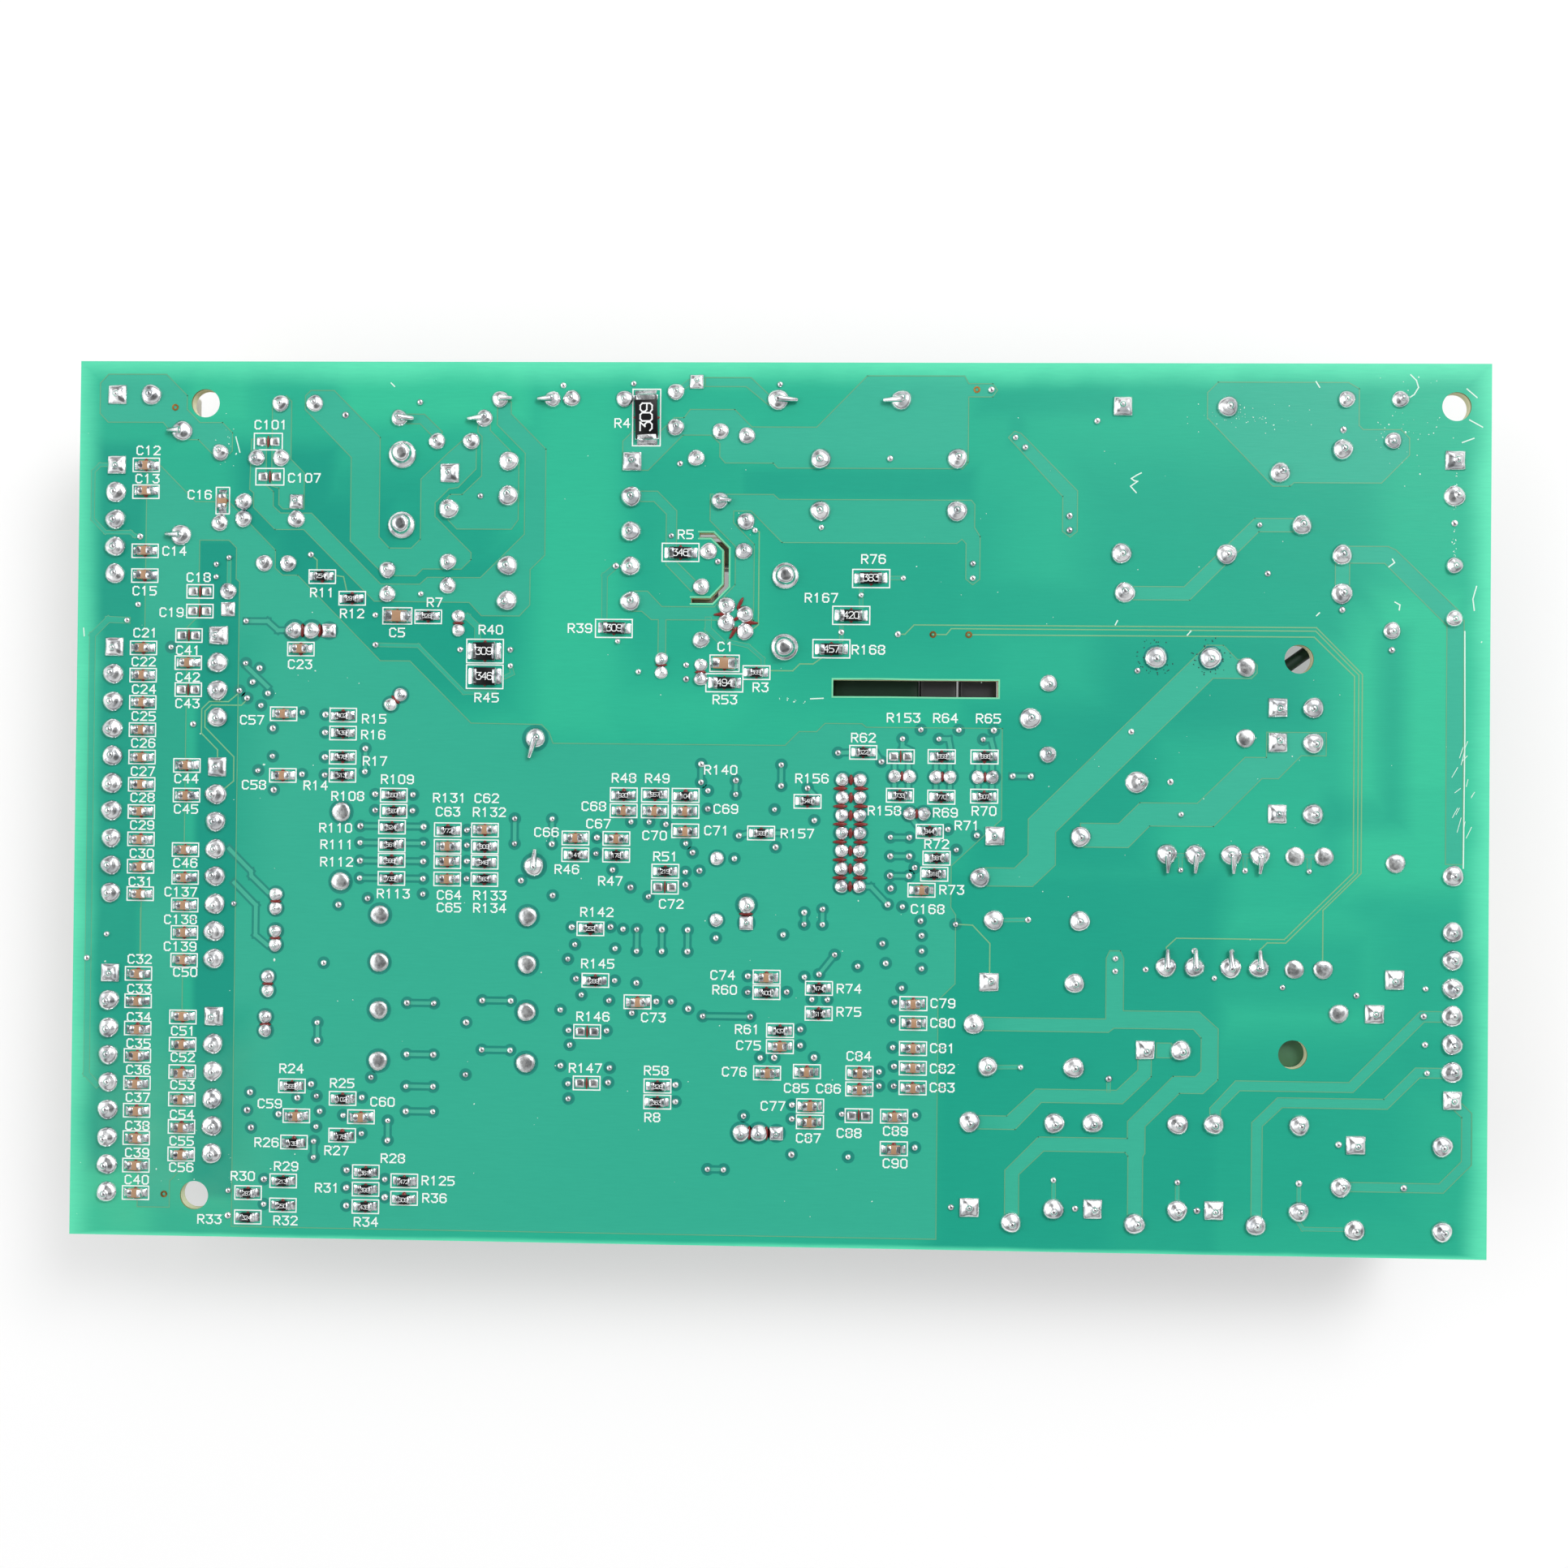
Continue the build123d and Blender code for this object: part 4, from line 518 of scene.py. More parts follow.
# small plated holes, each filled with solder
vias = np.reshape([
    38.9, 7.75, 49.8, 5.9, 9.05, 25.5, 34.1, 28, 22.15, 28.5, 20.3, 29.5, 20.3, 31.3, 8.9, 35.4, 7.3, 37.7,
    24.8, 37.7, 43.6, 36.7, 50.2, 33.6, 43.7, 41, 13.8, 41.55, 24.8, 43.8, 26.8, 44.5, 25.85, 46.5,
    28.1, 48.15, 23.9, 47.8, 25.05, 48.85, 27.1, 49.9, 17.2, 52.7, 28.85, 53.2, 28.9, 57.25, 26.8, 59.3,
    29.1, 62.1, 33.2, 50.9, 33.2, 59.8, 36.5, 51.15, 36.5, 53.75, 36.5, 57.3, 36.5, 59.9, 43.9, 62.6,
    49.4, 62.6, 43.9, 64.9, 49.4, 64.9, 51, 76.9, 43, 77.6, 38.75, 78.6, 23.5, 78.6, 4.95, 83.2, 2.05, 86.7,
    36.7, 87, 26.2, 105.8, 25.8, 108.4, 26.4, 110.9, 35.1, 104.5, 33.1, 106.5, 35.9, 106.2, 36.4, 108.4,
    35.9, 110.6, 30.4, 108.9, 42.5, 106.3, 39.8, 108.9, 42.5, 111.5, 43.8, 103.4, 28.4, 118.3, 23.2, 120,
    28.4, 121.9, 23.2, 123.6, 40.4, 116.8, 40.4, 119.3, 40.4, 121.9, 46, 118, 46, 120.6, 57.5, 95.3,
    57.5, 102.8, 72.1, 86, 73.1, 83.9, 78.9, 84.4, 73.3, 88.8, 78.9, 89, 74.1, 91.1, 71.1, 93.3, 78.1, 91.85,
    72.3, 96.2, 77.8, 96.2, 72.5, 98.3, 71.2, 101.3, 78.3, 101.5, 72.3, 103.85, 78.1, 103.6, 72.4, 106,
    82, 89.3, 81.4, 93.6, 84.9, 91.9, 87, 91.9, 89.5, 92.9, 87.8, 103.8, 87.8, 106.2, 97.6, 108.1, 98, 88.1,
    98, 90.4, 57.3, 67.6, 57.3, 69.8, 57.3, 72.1, 57.3, 74.6, 65.2, 74.8, 69.8, 76.9, 76.1, 68.5, 76, 70.8,
    78.4, 73.1, 81, 75.6, 81, 66.2, 83.6, 66.2, 86, 66.5, 83.6, 76.9, 88.9, 69.2, 89.9, 70.5, 88.9, 73.3,
    90.9, 73.1, 88.9, 75.1, 95.9, 71.3, 92, 61.6, 92, 64.2, 96.5, 68, 101.8, 69.6, 101.6, 64.2, 72.6, 81.4,
    78.2, 81.3, 80, 81.6, 93.35, 82.7, 81.8, 44.6, 63.3, 41.6, 63.3, 43.9, 56, 41.6, 88.7, 43.6, 88.7, 45.6,
    70.55, 3.4, 80.7, 3.1, 87.5, 14.6, 58.7, 19.4, 86.35, 25, 78.4, 29.4, 101.8, 3.15, 93.1, 28.7,
    98.4, 24.2, 78.8, 40.25, 132, 3.85, 117.65, 13.8, 107.9, 23.7, 129.6, 28.75, 129.6, 30.85, 135.5, 10.7,
    136.9, 12.1, 143.3, 21.9, 143.3, 23.9, 147.1, 8.3, 119.7, 30.9, 113.7, 33.4, 110.9, 38.7, 119, 38.95,
    153.1, 43.9, 110.6, 56, 116.8, 57.2, 119.8, 53.9, 122.4, 52.6, 127.8, 52.6, 132.8, 52.6, 125, 53.9,
    131.3, 53.9, 106.3, 61.1, 107.3, 65.7, 121.7, 72.3, 118.3, 75.3, 126.4, 66.8, 130.5, 67.6, 127.6, 69.7,
    117.9, 77.6, 120, 77.9, 122.6, 79.9, 122.8, 82, 122.8, 84.2, 127.6, 80.3, 137.9, 79.55, 117.2, 83.2,
    103, 82.1, 117.7, 86, 113.7, 86.5, 152.3, 52.6, 150.3, 84.9, 150.3, 86.7, 106.1, 88.1, 107.2, 91.3,
    109.4, 91.3, 120, 89.5, 122.8, 86.7, 119, 91.5, 118.8, 94.2, 118.8, 98, 119, 100.7, 119, 103.5,
    116.9, 101.5, 116.9, 103.5, 105.6, 95.6, 105.6, 97.9, 107.6, 99.6, 101.9, 99.7, 99.9, 99.7, 103.6, 90.3,
    104.5, 106.4, 104.5, 108.4, 104.5, 113.5, 112.6, 113.7, 111.6, 107.6, 122.1, 107.6, 122.1, 112.2,
    137, 100.5, 149.5, 102, 127.3, 120.6, 144.9, 120.5, 141.8, 116.5, 181.9, 9.45, 170.2, 23.05,
    171.4, 29.95, 181.9, 35.05, 188.9, 40.7, 197.6, 22.65, 157.9, 59.7, 159.4, 64.3, 159.4, 72.2,
    168.5, 72.2, 177.5, 72.2, 161.5, 83.7, 166.7, 83.7, 154.6, 86.4, 164.3, 87.5, 173.9, 88.7, 184.3, 89.7,
    193.9, 88.6, 193.7, 92.5, 193.9, 96.5, 194.2, 100.5, 181.9, 110.8, 162.1, 120.5, 159.3, 116.5,
    176.4, 116.4, 191.1, 116.8,
], (-1, 2))
openVias = [13.95, 6.7, 13.8, 120.7, 129.95, 3.85, 124, 38.95, 129.1, 38.95]
# pairs of small holes joined by a short track
viaLinks = np.reshape([
    42.4, 56, 42.35, 59.35, 41.8, 67.2, 51, 67.2, 41.8, 69.6, 51, 69.6, 41.8, 72.2, 51, 72.2,
    41.8, 74.7, 51, 74.7, 35.9, 95.6, 35.9, 98.2, 35.6, 112.7, 35.6, 115, 46.3, 109.6, 46.3, 112.4,
    48.9, 92.6, 52.8, 92.6, 48.9, 100, 52.8, 100, 48.9, 104.6, 52.8, 104.6, 48.9, 108.2, 52.8, 108.2,
    59.8, 92.1, 63.9, 92.1, 59.8, 99.2, 63.9, 99.2, 91.6, 93.9, 98.4, 93.9, 92.5, 115.8, 94.8, 115.8,
    64.2, 65.9, 64.2, 69.5, 69.6, 65.9, 69.6, 69.5, 91, 57.8, 91, 60.4, 96, 60.1, 96, 62.1,
    82, 81.6, 82, 84.7, 85.6, 81.6, 85.6, 84.7, 89.3, 81.6, 89.3, 84.7, 102.5, 57.8, 102.5, 60.8,
    118.2, 68, 120.9, 68, 118.2, 70.7, 120.9, 70.7, 118.2, 73.5, 120.9, 73.5, 106, 78.9, 106, 80.6,
    108.6, 78.4, 108.6, 80.6, 110.4, 84.9, 108.2, 87.7, 135.5, 59.1, 138.1, 59.1,
], (-1, 4))
# tracks that cross the ground copper, each between two dark gaps
pourTracks = [
    [22.7, 70.7, 25.9, 73.9, 26, 74.6, 28.4, 76.9], [23.5, 75.6, 26.7, 78.8, 26.7, 83.1, 28.4, 84.5],
    [24.9, 44.3, 28, 47.2], [24.8, 37.7, 27.9, 37.7, 29.4, 39, 31.8, 39],
    [113.9, 75.1, 115.5, 75.1, 117.9, 77.6], [110.6, 56, 112.6, 55.9], [116, 55.9, 116.8, 57.2],
    [119.8, 53.9, 119.8, 55, 120.9, 55.5], [125, 53.9, 126.4, 53.9, 126.7, 55.4],
    [131.3, 53.9, 132.4, 53.9, 132.8, 55.4], [118.7, 57.6, 118.7, 60.8], [120.7, 57.6, 120.7, 60.8],
    [124.6, 57.6, 124.6, 60.8], [126.6, 57.6, 126.6, 60.8], [130.6, 57.6, 130.6, 60.8],
    [132.6, 57.6, 132.6, 60.8], [121, 65, 122.4, 66.8], [106.3, 61.1, 107.2, 62], [101.6, 67.6, 103, 67.6],
    [96.5, 68, 98, 67.6], [36.5, 51.2, 37.5, 51.2],
]
# wider tracks over bare laminate, seen as copper under the mask, by width in mm
wideTracks = {
    0.8: [
        [55.7, 36.8, 57, 36.9, 58.5, 38.3, 58.5, 39.8],
        [7.3, 37.7, 4.5, 37.6, 2.2, 39.9, 2.2, 86.7, 2.2, 103.5, 3.7, 105],
        [91.8, 37.1, 91.8, 38.4, 93.6, 40.1],
    ],
    0.7: [
        [78.4, 29.4, 76.8, 30.8, 76.8, 37], [88.6, 3, 86.8, 4.3],
    ],
    0.45: [
        [43.7, 41, 49.9, 41.1, 56.6, 47.8, 61, 47.8], [22.15, 28.5, 22.15, 33],
        [5.5, 15.1, 3, 15.1, 2, 16.1, 2, 23, 3.9, 24.9, 7.6, 24.9, 8.2, 25.4, 9, 25.5],
        [94.8, 40.2, 97.6, 40.8, 99.7, 42.6, 99.7, 43.5], [63.3, 43.9, 63.6, 45, 62.6, 45.5],
        [133.05, 79.65, 137.9, 79.55], [132.5, 100.6, 137, 100.5], [141.85, 120.5, 141.85, 116.5],
        [159.3, 120.5, 159.3, 116.5], [176.4, 120.5, 176.4, 116.4], [176.4, 121.9, 177, 122.8, 182.9, 122.8],
        [149.5, 102, 149.5, 103.6], [113.7, 32.3, 113.7, 35], [110.9, 37.7, 110.9, 39.8],
        [117.8, 30.9, 119.6, 30.9], [157.5, 70.1, 161.5, 70.1], [166.65, 70.1, 170.65, 70.1],
        [175.5, 70.1, 179.5, 70.1], [159.4, 70.1, 159.4, 72.2], [168.5, 70.1, 168.5, 72.2],
        [177.5, 70.1, 177.5, 72.2],
    ],
}
thinTracks = [
    [119, 38.95, 120, 38.95, 121.3, 37.6, 178.3, 37.6, 184.8, 44.2, 184.8, 72.4, 179.5, 77.7, 179.5, 85],
    [124, 38.95, 125.9, 38.95, 126.6, 38.1, 178.2, 38.1, 184.3, 44.3, 184.3, 72.4, 174.3, 82.4, 171.7, 82.4,
     170.7, 83.4, 170.7, 85],
    [129.1, 38.95, 178, 38.95, 183.7, 44.5, 183.7, 72.3, 174.1, 81.9, 158.9, 81.9, 157.5, 83.2, 157.5, 85],
    [98.4, 23.9, 99, 24.4, 99, 37.7, 97.5, 39], [34.1, 28, 35, 28.8, 35, 30.3],
    [37.7, 31, 38.9, 31.2, 39.4, 33.3], [108.3, 42.3, 106.9, 43.3, 105, 43.3, 104, 44.3, 100.9, 44.3],
    [24.1, 47.9, 22.3, 49.4, 19.5, 49.4, 18.4, 50.5, 18.4, 54, 20.8, 56.4, 20.8, 57.5],
    [25.2, 48.9, 24.2, 49.9, 19.8, 49.9, 18.9, 50.8, 18.9, 53.1, 23.2, 57.4, 23.2, 60.9, 22, 61.9],
    [127.6, 80.3, 130, 80.4, 132.5, 83, 132.5, 87.2], [9.85, 79.4, 9.85, 87],
]

viaPlaces = np.concatenate([vias, viaLinks.reshape(-1, 2)])
makePiece("dark_gaps_round_tracks", merge([
    bars(allSegments(pourTracks), copperLook["trackGap"], layers["clearance"]),
    bars(allSegments(viaLinks), copperLook["linkGap"], layers["clearance"]),
    discs(viaPlaces[inGround(viaPlaces)], copperLook["holeGap"], layers["clearance"]),
]), "clearance", smooth=False)
makePiece("tracks_between_gaps", merge([
    bars(allSegments(pourTracks), copperLook["track"], layers["track"]),
    bars(allSegments(viaLinks), copperLook["link"], layers["track"]),
]), "track", smooth=False)
for name, finish, extra, layer in (("wide_track_edges", "copperEdge", copperLook["wideRim"], "clearance"),
                                   ("wide_tracks", "coveredCopper", 0, "track")):
    shapes = [bars(allSegments(lines), width + extra, layers[layer]) for width, lines in wideTracks.items()]
    makePiece(name, merge(shapes), finish, smooth=False)
makePiece("thin_tracks", bars(allSegments(thinTracks), copperLook["thin"], layers["track"]), "thinTrack",
          smooth=False)
print("board, copper and tracks made")


# solder joints: a ring profile turned about the lead, each copy a little different
def turned(radii, heights, sides, squareness=0.0, waves=0.0):
    # ring radius follows the profile; squareness 1 pushes a ring out to the square round it;
    # waves swell and narrow the middle rings three times round
    angle = np.arange(sides) * 2 * np.pi / sides
    square = np.minimum(1 / np.maximum(np.abs(np.cos(angle)), np.abs(np.sin(angle))), 1.38)
    share = np.broadcast_to(squareness, (len(radii),))
    reach = np.asarray(radii, float)[:, None] * (1 + share[:, None] * (square - 1)[None])
    middle = np.sin(np.linspace(0, np.pi, len(radii)))[:, None]
    reach = reach * (1 + waves * middle * np.sin(3 * angle + 1.7 * middle))
    level = np.broadcast_to(np.asarray(heights, float)[:, None], reach.shape)
    return stackRings(np.stack([reach * np.cos(angle), reach * np.sin(angle), level], -1))


def seats(node):
    # middle of each solid on the board's solder side, and its size
    low, high = solidBoxes(node)
    centres = (low + high) / 2
    centres[:, 2] = solderSide
    return centres, high - low


jointShapes = {
    "lead": turned([1.0, 0.99, 0.88, 0.64, 0.40, 0.27, 0.23, 0.10],
                   [-0.03, 0.14, 0.36, 0.54, 0.66, 0.78, 0.94, 1.0], 15, waves=0.07),
    "square": turned([1.0, 0.98, 0.90, 0.62, 0.34, 0.24, 0.20, 0.09],
                     [-0.03, 0.12, 0.26, 0.44, 0.60, 0.76, 0.95, 1.0], 16,
                     [1, 1, 1, 0.8, 0.3, 0, 0, 0], waves=0.04),
    "post": turned([1.0, 0.98, 0.90, 0.76, 0.70, 0.67, 0.58, 0.40, 0.18],
                   [-0.03, 0.16, 0.28, 0.34, 0.42, 0.62, 0.84, 0.96, 1.0], 20, waves=0.03),
    "dome": turned([1.0, 0.99, 0.90, 0.66, 0.36, 0.12],
                   [-0.05, 0.28, 0.62, 0.86, 0.97, 1.0], 15, waves=0.05),
}
jointKinds = {  # kind: profile, height and copper gap round it in mm
    "large": ("lead", 1.25, 0.40), "square": ("square", 1.20, 0.36), "medium": ("lead", 1.05, 0.36),
    "small_square": ("square", 0.95, 0.32), "small": ("lead", 0.85, 0.28), "heat_sink": ("post", 1.7, 0.4),
    "module": ("lead", 1.1, 0.4), "flat": ("dome", 0.55, 0.40),
}
jointLook = {"width": (0.97, 1.03), "height": (0.82, 1.12), "lean": 0.12}  # how the copies vary
jointPlaces, gapDiscs = [], []
for kind, (shape, height, gap) in jointKinds.items():
    node = "solder_joints_" + kind
    centres, size = seats(node)
    jointPlaces.append(centres)
    count, radius = len(centres), size[0, 1] / 2 / mm
    sizes = np.column_stack([radius * rng.uniform(*jointLook["width"], (count, 2)),
                             height * rng.uniform(*jointLook["height"], count)]) * mm
    turns = rng.choice(4, count) * np.pi / 2 if shape == "square" else rng.uniform(0, 2 * np.pi, count)
    leans = rng.normal(0, jointLook["lean"], (count, 2))
    makePiece(node + "_shaped", repeatShape(jointShapes[shape], centres, turns, sizes, leans),
              "dullSolder" if shape == "dome" else "solder", [node], sharpAngle=70)
    rings = toPlaces(centres)
    rings = rings[inGround(rings)]
    if len(rings):
        gapDiscs.append(discs(rings, radius + gap, layers["clearance"]))
allJoints = np.concatenate(jointPlaces)
makePiece("dark_gaps_round_joints", merge(gapDiscs), "clearance", smooth=False)

viaLook = {"radius": (0.44, 0.53), "height": (0.24, 0.42), "lean": 0.1, "open": (0.5, 0.5, 0.4)}  # mm
viaCount = len(viaPlaces)
viaSizes = np.column_stack([rng.uniform(*viaLook["radius"], viaCount)] * 2
                           + [rng.uniform(*viaLook["height"], viaCount)]) * mm
viaDome = turned([1.0, 0.92, 0.5], [-0.05, 0.5, 1.0], 9)
filled = repeatShape(viaDome, onBoard(viaPlaces), rng.uniform(0, 6, viaCount), viaSizes,
                     rng.normal(0, viaLook["lean"], (viaCount, 2)))
makePiece("filled_small_holes", filled, "solder", sharpAngle=70)
openRing = turned([1.0, 0.98, 0.45, 0.42], [-0.02, 0.1, 0.1, -0.02], 14)
makePiece("open_small_holes", repeatShape(openRing, onBoard(openVias), 0, np.array(viaLook["open"]) * mm),
          "bareVia", sharpAngle=40)


def taperedRod(start, end, startRadius, endRadius, sides=8):
    # rings square to the line, closed by a small rounded tip
    start, end = np.asarray(start, float), np.asarray(end, float)
    length = np.linalg.norm(end - start)
    along = (end - start) / length
    side = np.cross(along, [0, 0, 1.0])
    side = side / max(np.linalg.norm(side), 1e-9)
    up = np.cross(side, along)
    angle = np.arange(sides) * 2 * np.pi / sides
    wheel = np.cos(angle)[:, None] * side + np.sin(angle)[:, None] * up
    stops = [(0, startRadius), (length - endRadius * 0.5, endRadius), (length, endRadius * 0.45)]
    return stackRings(np.stack([start + along * at + wheel * radius for at, radius in stops])[:, ::-1])


# leads bent flat before soldering, so that the joint has a tail: foot and tip
bentLeads = np.reshape([
    15.1, 10.15, 12.9, 10.1, 15.2, 25.3, 12.8, 25.2, 46.8, 8.2, 49, 8.3, 59.1, 8.2, 56.7, 8.3,
    61.4, 5.4, 63.2, 5.3, 69, 5.4, 66.8, 5.4, 93.2, 19.9, 95, 19.9, 101.6, 5.4, 104.4, 5.5,
    119.25, 5.4, 116.5, 5.5, 67.1, 54.35, 66.2, 57.2, 67.1, 72.7, 67.2, 70.2, 157.5, 70.1, 157.5, 72.7,
    161.5, 70.1, 161.4, 72.7, 166.65, 70.1, 166.8, 72.7, 170.65, 70.1, 170.5, 72.7, 157.5, 86, 157.6, 83.4,
    161.5, 86, 161.6, 83.4, 166.65, 86, 166.5, 83.4, 170.65, 86, 170.6, 83.4,
], (-1, 4))
tailLook = {"footHeight": 0.95, "tipHeight": 0.32, "footRadius": 0.5, "tipRadius": 0.34}  # mm
tails = []
for (x0, y0), (x1, y1) in map(toPlane, bentLeads):
    foot = (x0, y0, solderSide + tailLook["footHeight"] * mm)
    tip = (x1, y1, solderSide + tailLook["tipHeight"] * mm)
    tails.append(taperedRod(foot, tip, tailLook["footRadius"] * mm, tailLook["tipRadius"] * mm))
makePiece("bent_lead_tails", merge(tails), "solder", sharpAngle=60)
print("solder joints made")


# chips: ceramic body, soldered ends, drop of adhesive below, printed frame round it
def chamferedBlock(length, width, height, corner, lip):
    # eight sided plan, top edge drawn in by lip
    def plan(inset, z):
        a, b, c = length / 2 - inset, width / 2 - inset, corner
        return [(a, c - b, z), (a, b - c, z), (a - c, b, z), (c - a, b, z), (-a, b - c, z), (-a, c - b, z),
                (c - a, -b, z), (a - c, -b, z)]
    return stackRings(np.array([plan(0, 0), plan(0, height - lip), plan(lip, height)]) * mm)


def solderedEnd(length, width, height, pad, cap):
    # arches along the chip's end: over the metal cap, then sloping out to the end of the pad
    half = length / 2
    stations = [(half - cap, 0.50, height + 0.02), (half - cap + 0.06, 0.52, height + 0.05),
                (half - 0.04, 0.52, height + 0.06), (half + 0.06, 0.47, height * 0.78),
                (half + pad * 0.40, 0.45, height * 0.36), (half + pad * 0.85, 0.47, height * 0.14),
                (half + pad, 0.40, 0.02)]
    arch = np.array([(-1, 0), (1, 0), (1, 0.62), (0.78, 0.95), (0, 1.0), (-0.78, 0.95), (-1, 0.62)])
    return stackRings(np.array([[(x, w * width * a, h * b) for a, b in arch] for x, w, h in stations]) * mm)


# node: length, width, height, pad beyond the body, metal cap, frame length and width, code height
chipKinds = {
    "chip_capacitors_left": (2.0, 1.25, 0.65, 0.72, 0.62, 3.85, 1.95, 0),
    "chip_capacitors": (2.0, 1.25, 0.65, 0.72, 0.62, 3.85, 1.95, 0),
    "chip_capacitors_long": (3.2, 1.6, 0.65, 0.45, 0.95, 4.2, 2.35, 0),
    "chip_resistors": (2.0, 1.25, 0.5, 0.72, 0.42, 3.85, 1.95, 0.55),
    "chip_resistors_long": (3.2, 1.6, 0.55, 0.75, 0.60, 5.3, 2.6, 0.95),
    "chip_resistors_wide": (3.2, 2.5, 0.55, 0.80, 0.45, 5.3, 3.4, 1.0),
    "chip_resistor_power": (6.4, 3.2, 0.6, 0.75, 0.7, 8.15, 4.0, 1.7),
}
glyphs = {  # strokes on a grid 4 wide and 6 high: right, up, right, up and so on
    "0": [[1, 0, 3, 0, 4, 1, 4, 5, 3, 6, 1, 6, 0, 5, 0, 1, 1, 0]],
    "1": [[0.8, 4.8, 2, 6, 2, 0]],
    "2": [[0, 5, 1, 6, 3, 6, 4, 5, 4, 4, 0, 0, 4, 0]],
    "3": [[0, 6, 4, 6, 2, 3.6, 3, 3.6, 4, 2.6, 4, 1, 3, 0, 1, 0, 0, 1]],
    "4": [[3, 0, 3, 6, 0, 2, 4, 2]],
    "5": [[4, 6, 0, 6, 0, 3.4, 3, 3.4, 4, 2.4, 4, 1, 3, 0, 0, 0]],
    "6": [[4, 5.2, 3, 6, 1, 6, 0, 5, 0, 1, 1, 0, 3, 0, 4, 1, 4, 2.6, 3, 3.5, 0, 3.5]],
    "7": [[0, 6, 4, 6, 1.4, 0]],
    "8": [[1, 3.2, 0, 4.2, 0, 5.2, 1, 6, 3, 6, 4, 5.2, 4, 4.2, 3, 3.2, 1, 3.2, 0, 2.2, 0, 1, 1, 0, 3, 0,
           4, 1, 4, 2.2, 3, 3.2]],
    "9": [[0, 0.8, 1, 0, 3, 0, 4, 1, 4, 5, 3, 6, 1, 6, 0, 5, 0, 3.6, 1, 2.7, 4, 2.7]],
    "C": [[4, 5, 3, 6, 1, 6, 0, 5, 0, 1, 1, 0, 3, 0, 4, 1]],
    "R": [[0, 0, 0, 6, 3, 6, 4, 5, 4, 3.8, 3, 2.9, 0, 2.9], [1.8, 2.9, 4, 0]],
}


def writeText(text, centre, height, advance, turn=0.0):
    # stroke letters centred on a board place; returns segments in metres
    scale = np.array([height * 0.175, height / 6])
    width = advance * (len(text) - 1) + 4 * scale[0]
    found = []
    for number, letter in enumerate(text):
        for stroke in glyphs[letter]:
            stroke = np.reshape(stroke, (-1, 2)) * scale
            found.append(chain(stroke + [number * advance - width / 2, -height / 2]))
    cos, sin = math.cos(turn), math.sin(turn)
    segments = np.concatenate(found) * mm @ np.array([[cos, sin], [-sin, cos]])
    return segments + toPlane([centre])[0]


# spread of angle and place, trimmed length, cut corner and lip of a body in mm; parts of the code's height
chipLook = {"turn": 0.018, "shift": 0.05, "trim": 0.1, "corner": 0.08, "lip": 0.05, "advance": 0.80,
            "stroke": 0.12, "ends": (0.94, 1.06)}
dropLook = {"beyond": 0.26, "length": 0.40, "height": 0.26, "stripHeight": 0.34,  # mm, then how they vary
            "lengths": (0.85, 1.2), "widths": (0.92, 1.1)}
frameSegments, codeShapes, glueDots = [], [], []
for node, (length, width, height, pad, cap, frameLength, frameWidth, code) in chipKinds.items():
    centres, size = seats(node)
    count = len(centres)
    turns = np.where(size[:, 1] > size[:, 0], np.pi / 2, 0.0)
    jitter = turns + rng.normal(0, chipLook["turn"], count)
    seated = centres + np.column_stack([rng.normal(0, chipLook["shift"], (count, 2)) * mm, np.zeros(count)])
    body = chamferedBlock(length - chipLook["trim"], width, height, chipLook["corner"], chipLook["lip"])
    makePiece(node + "_body", repeatShape(body, seated, jitter), "resistorChip" if code else "capacitorChip",
              [node], sharpAngle=40)
    end = solderedEnd(length, width, height, pad, cap)
    ends = [repeatShape(end, seated, jitter + side, np.column_stack([
        np.ones(count), rng.uniform(*chipLook["ends"], count), np.ones(count)])) for side in (0, np.pi)]
    makePiece(node + "_ends", merge(ends), "chipSolder", sharpAngle=55)
    half = np.array([frameLength, frameWidth]) * mm / 2
    for centre, turn in zip(centres[:, :2], turns):
        reach = half if turn == 0 else half[::-1]
        frameSegments.append(chain(rim(centre - reach, centre + reach)))
    glueDots.append((centres, turns, (width / 2 + dropLook["beyond"]) * mm))
    for number, (place, turn) in enumerate(zip(toPlaces(seated), turns) if code else ()):
        text = str(100 + (number * 37 + 11 * len(node)) % 890)
        segments = writeText(text, place, code, code * chipLook["advance"], turn)
        points, faces = bars(segments, code * chipLook["stroke"], 0)
        points[:, 2] += (height + 0.02) * mm
        codeShapes.append((points, faces))
makePiece("resistor_codes", merge(codeShapes), "chipCode", smooth=False)

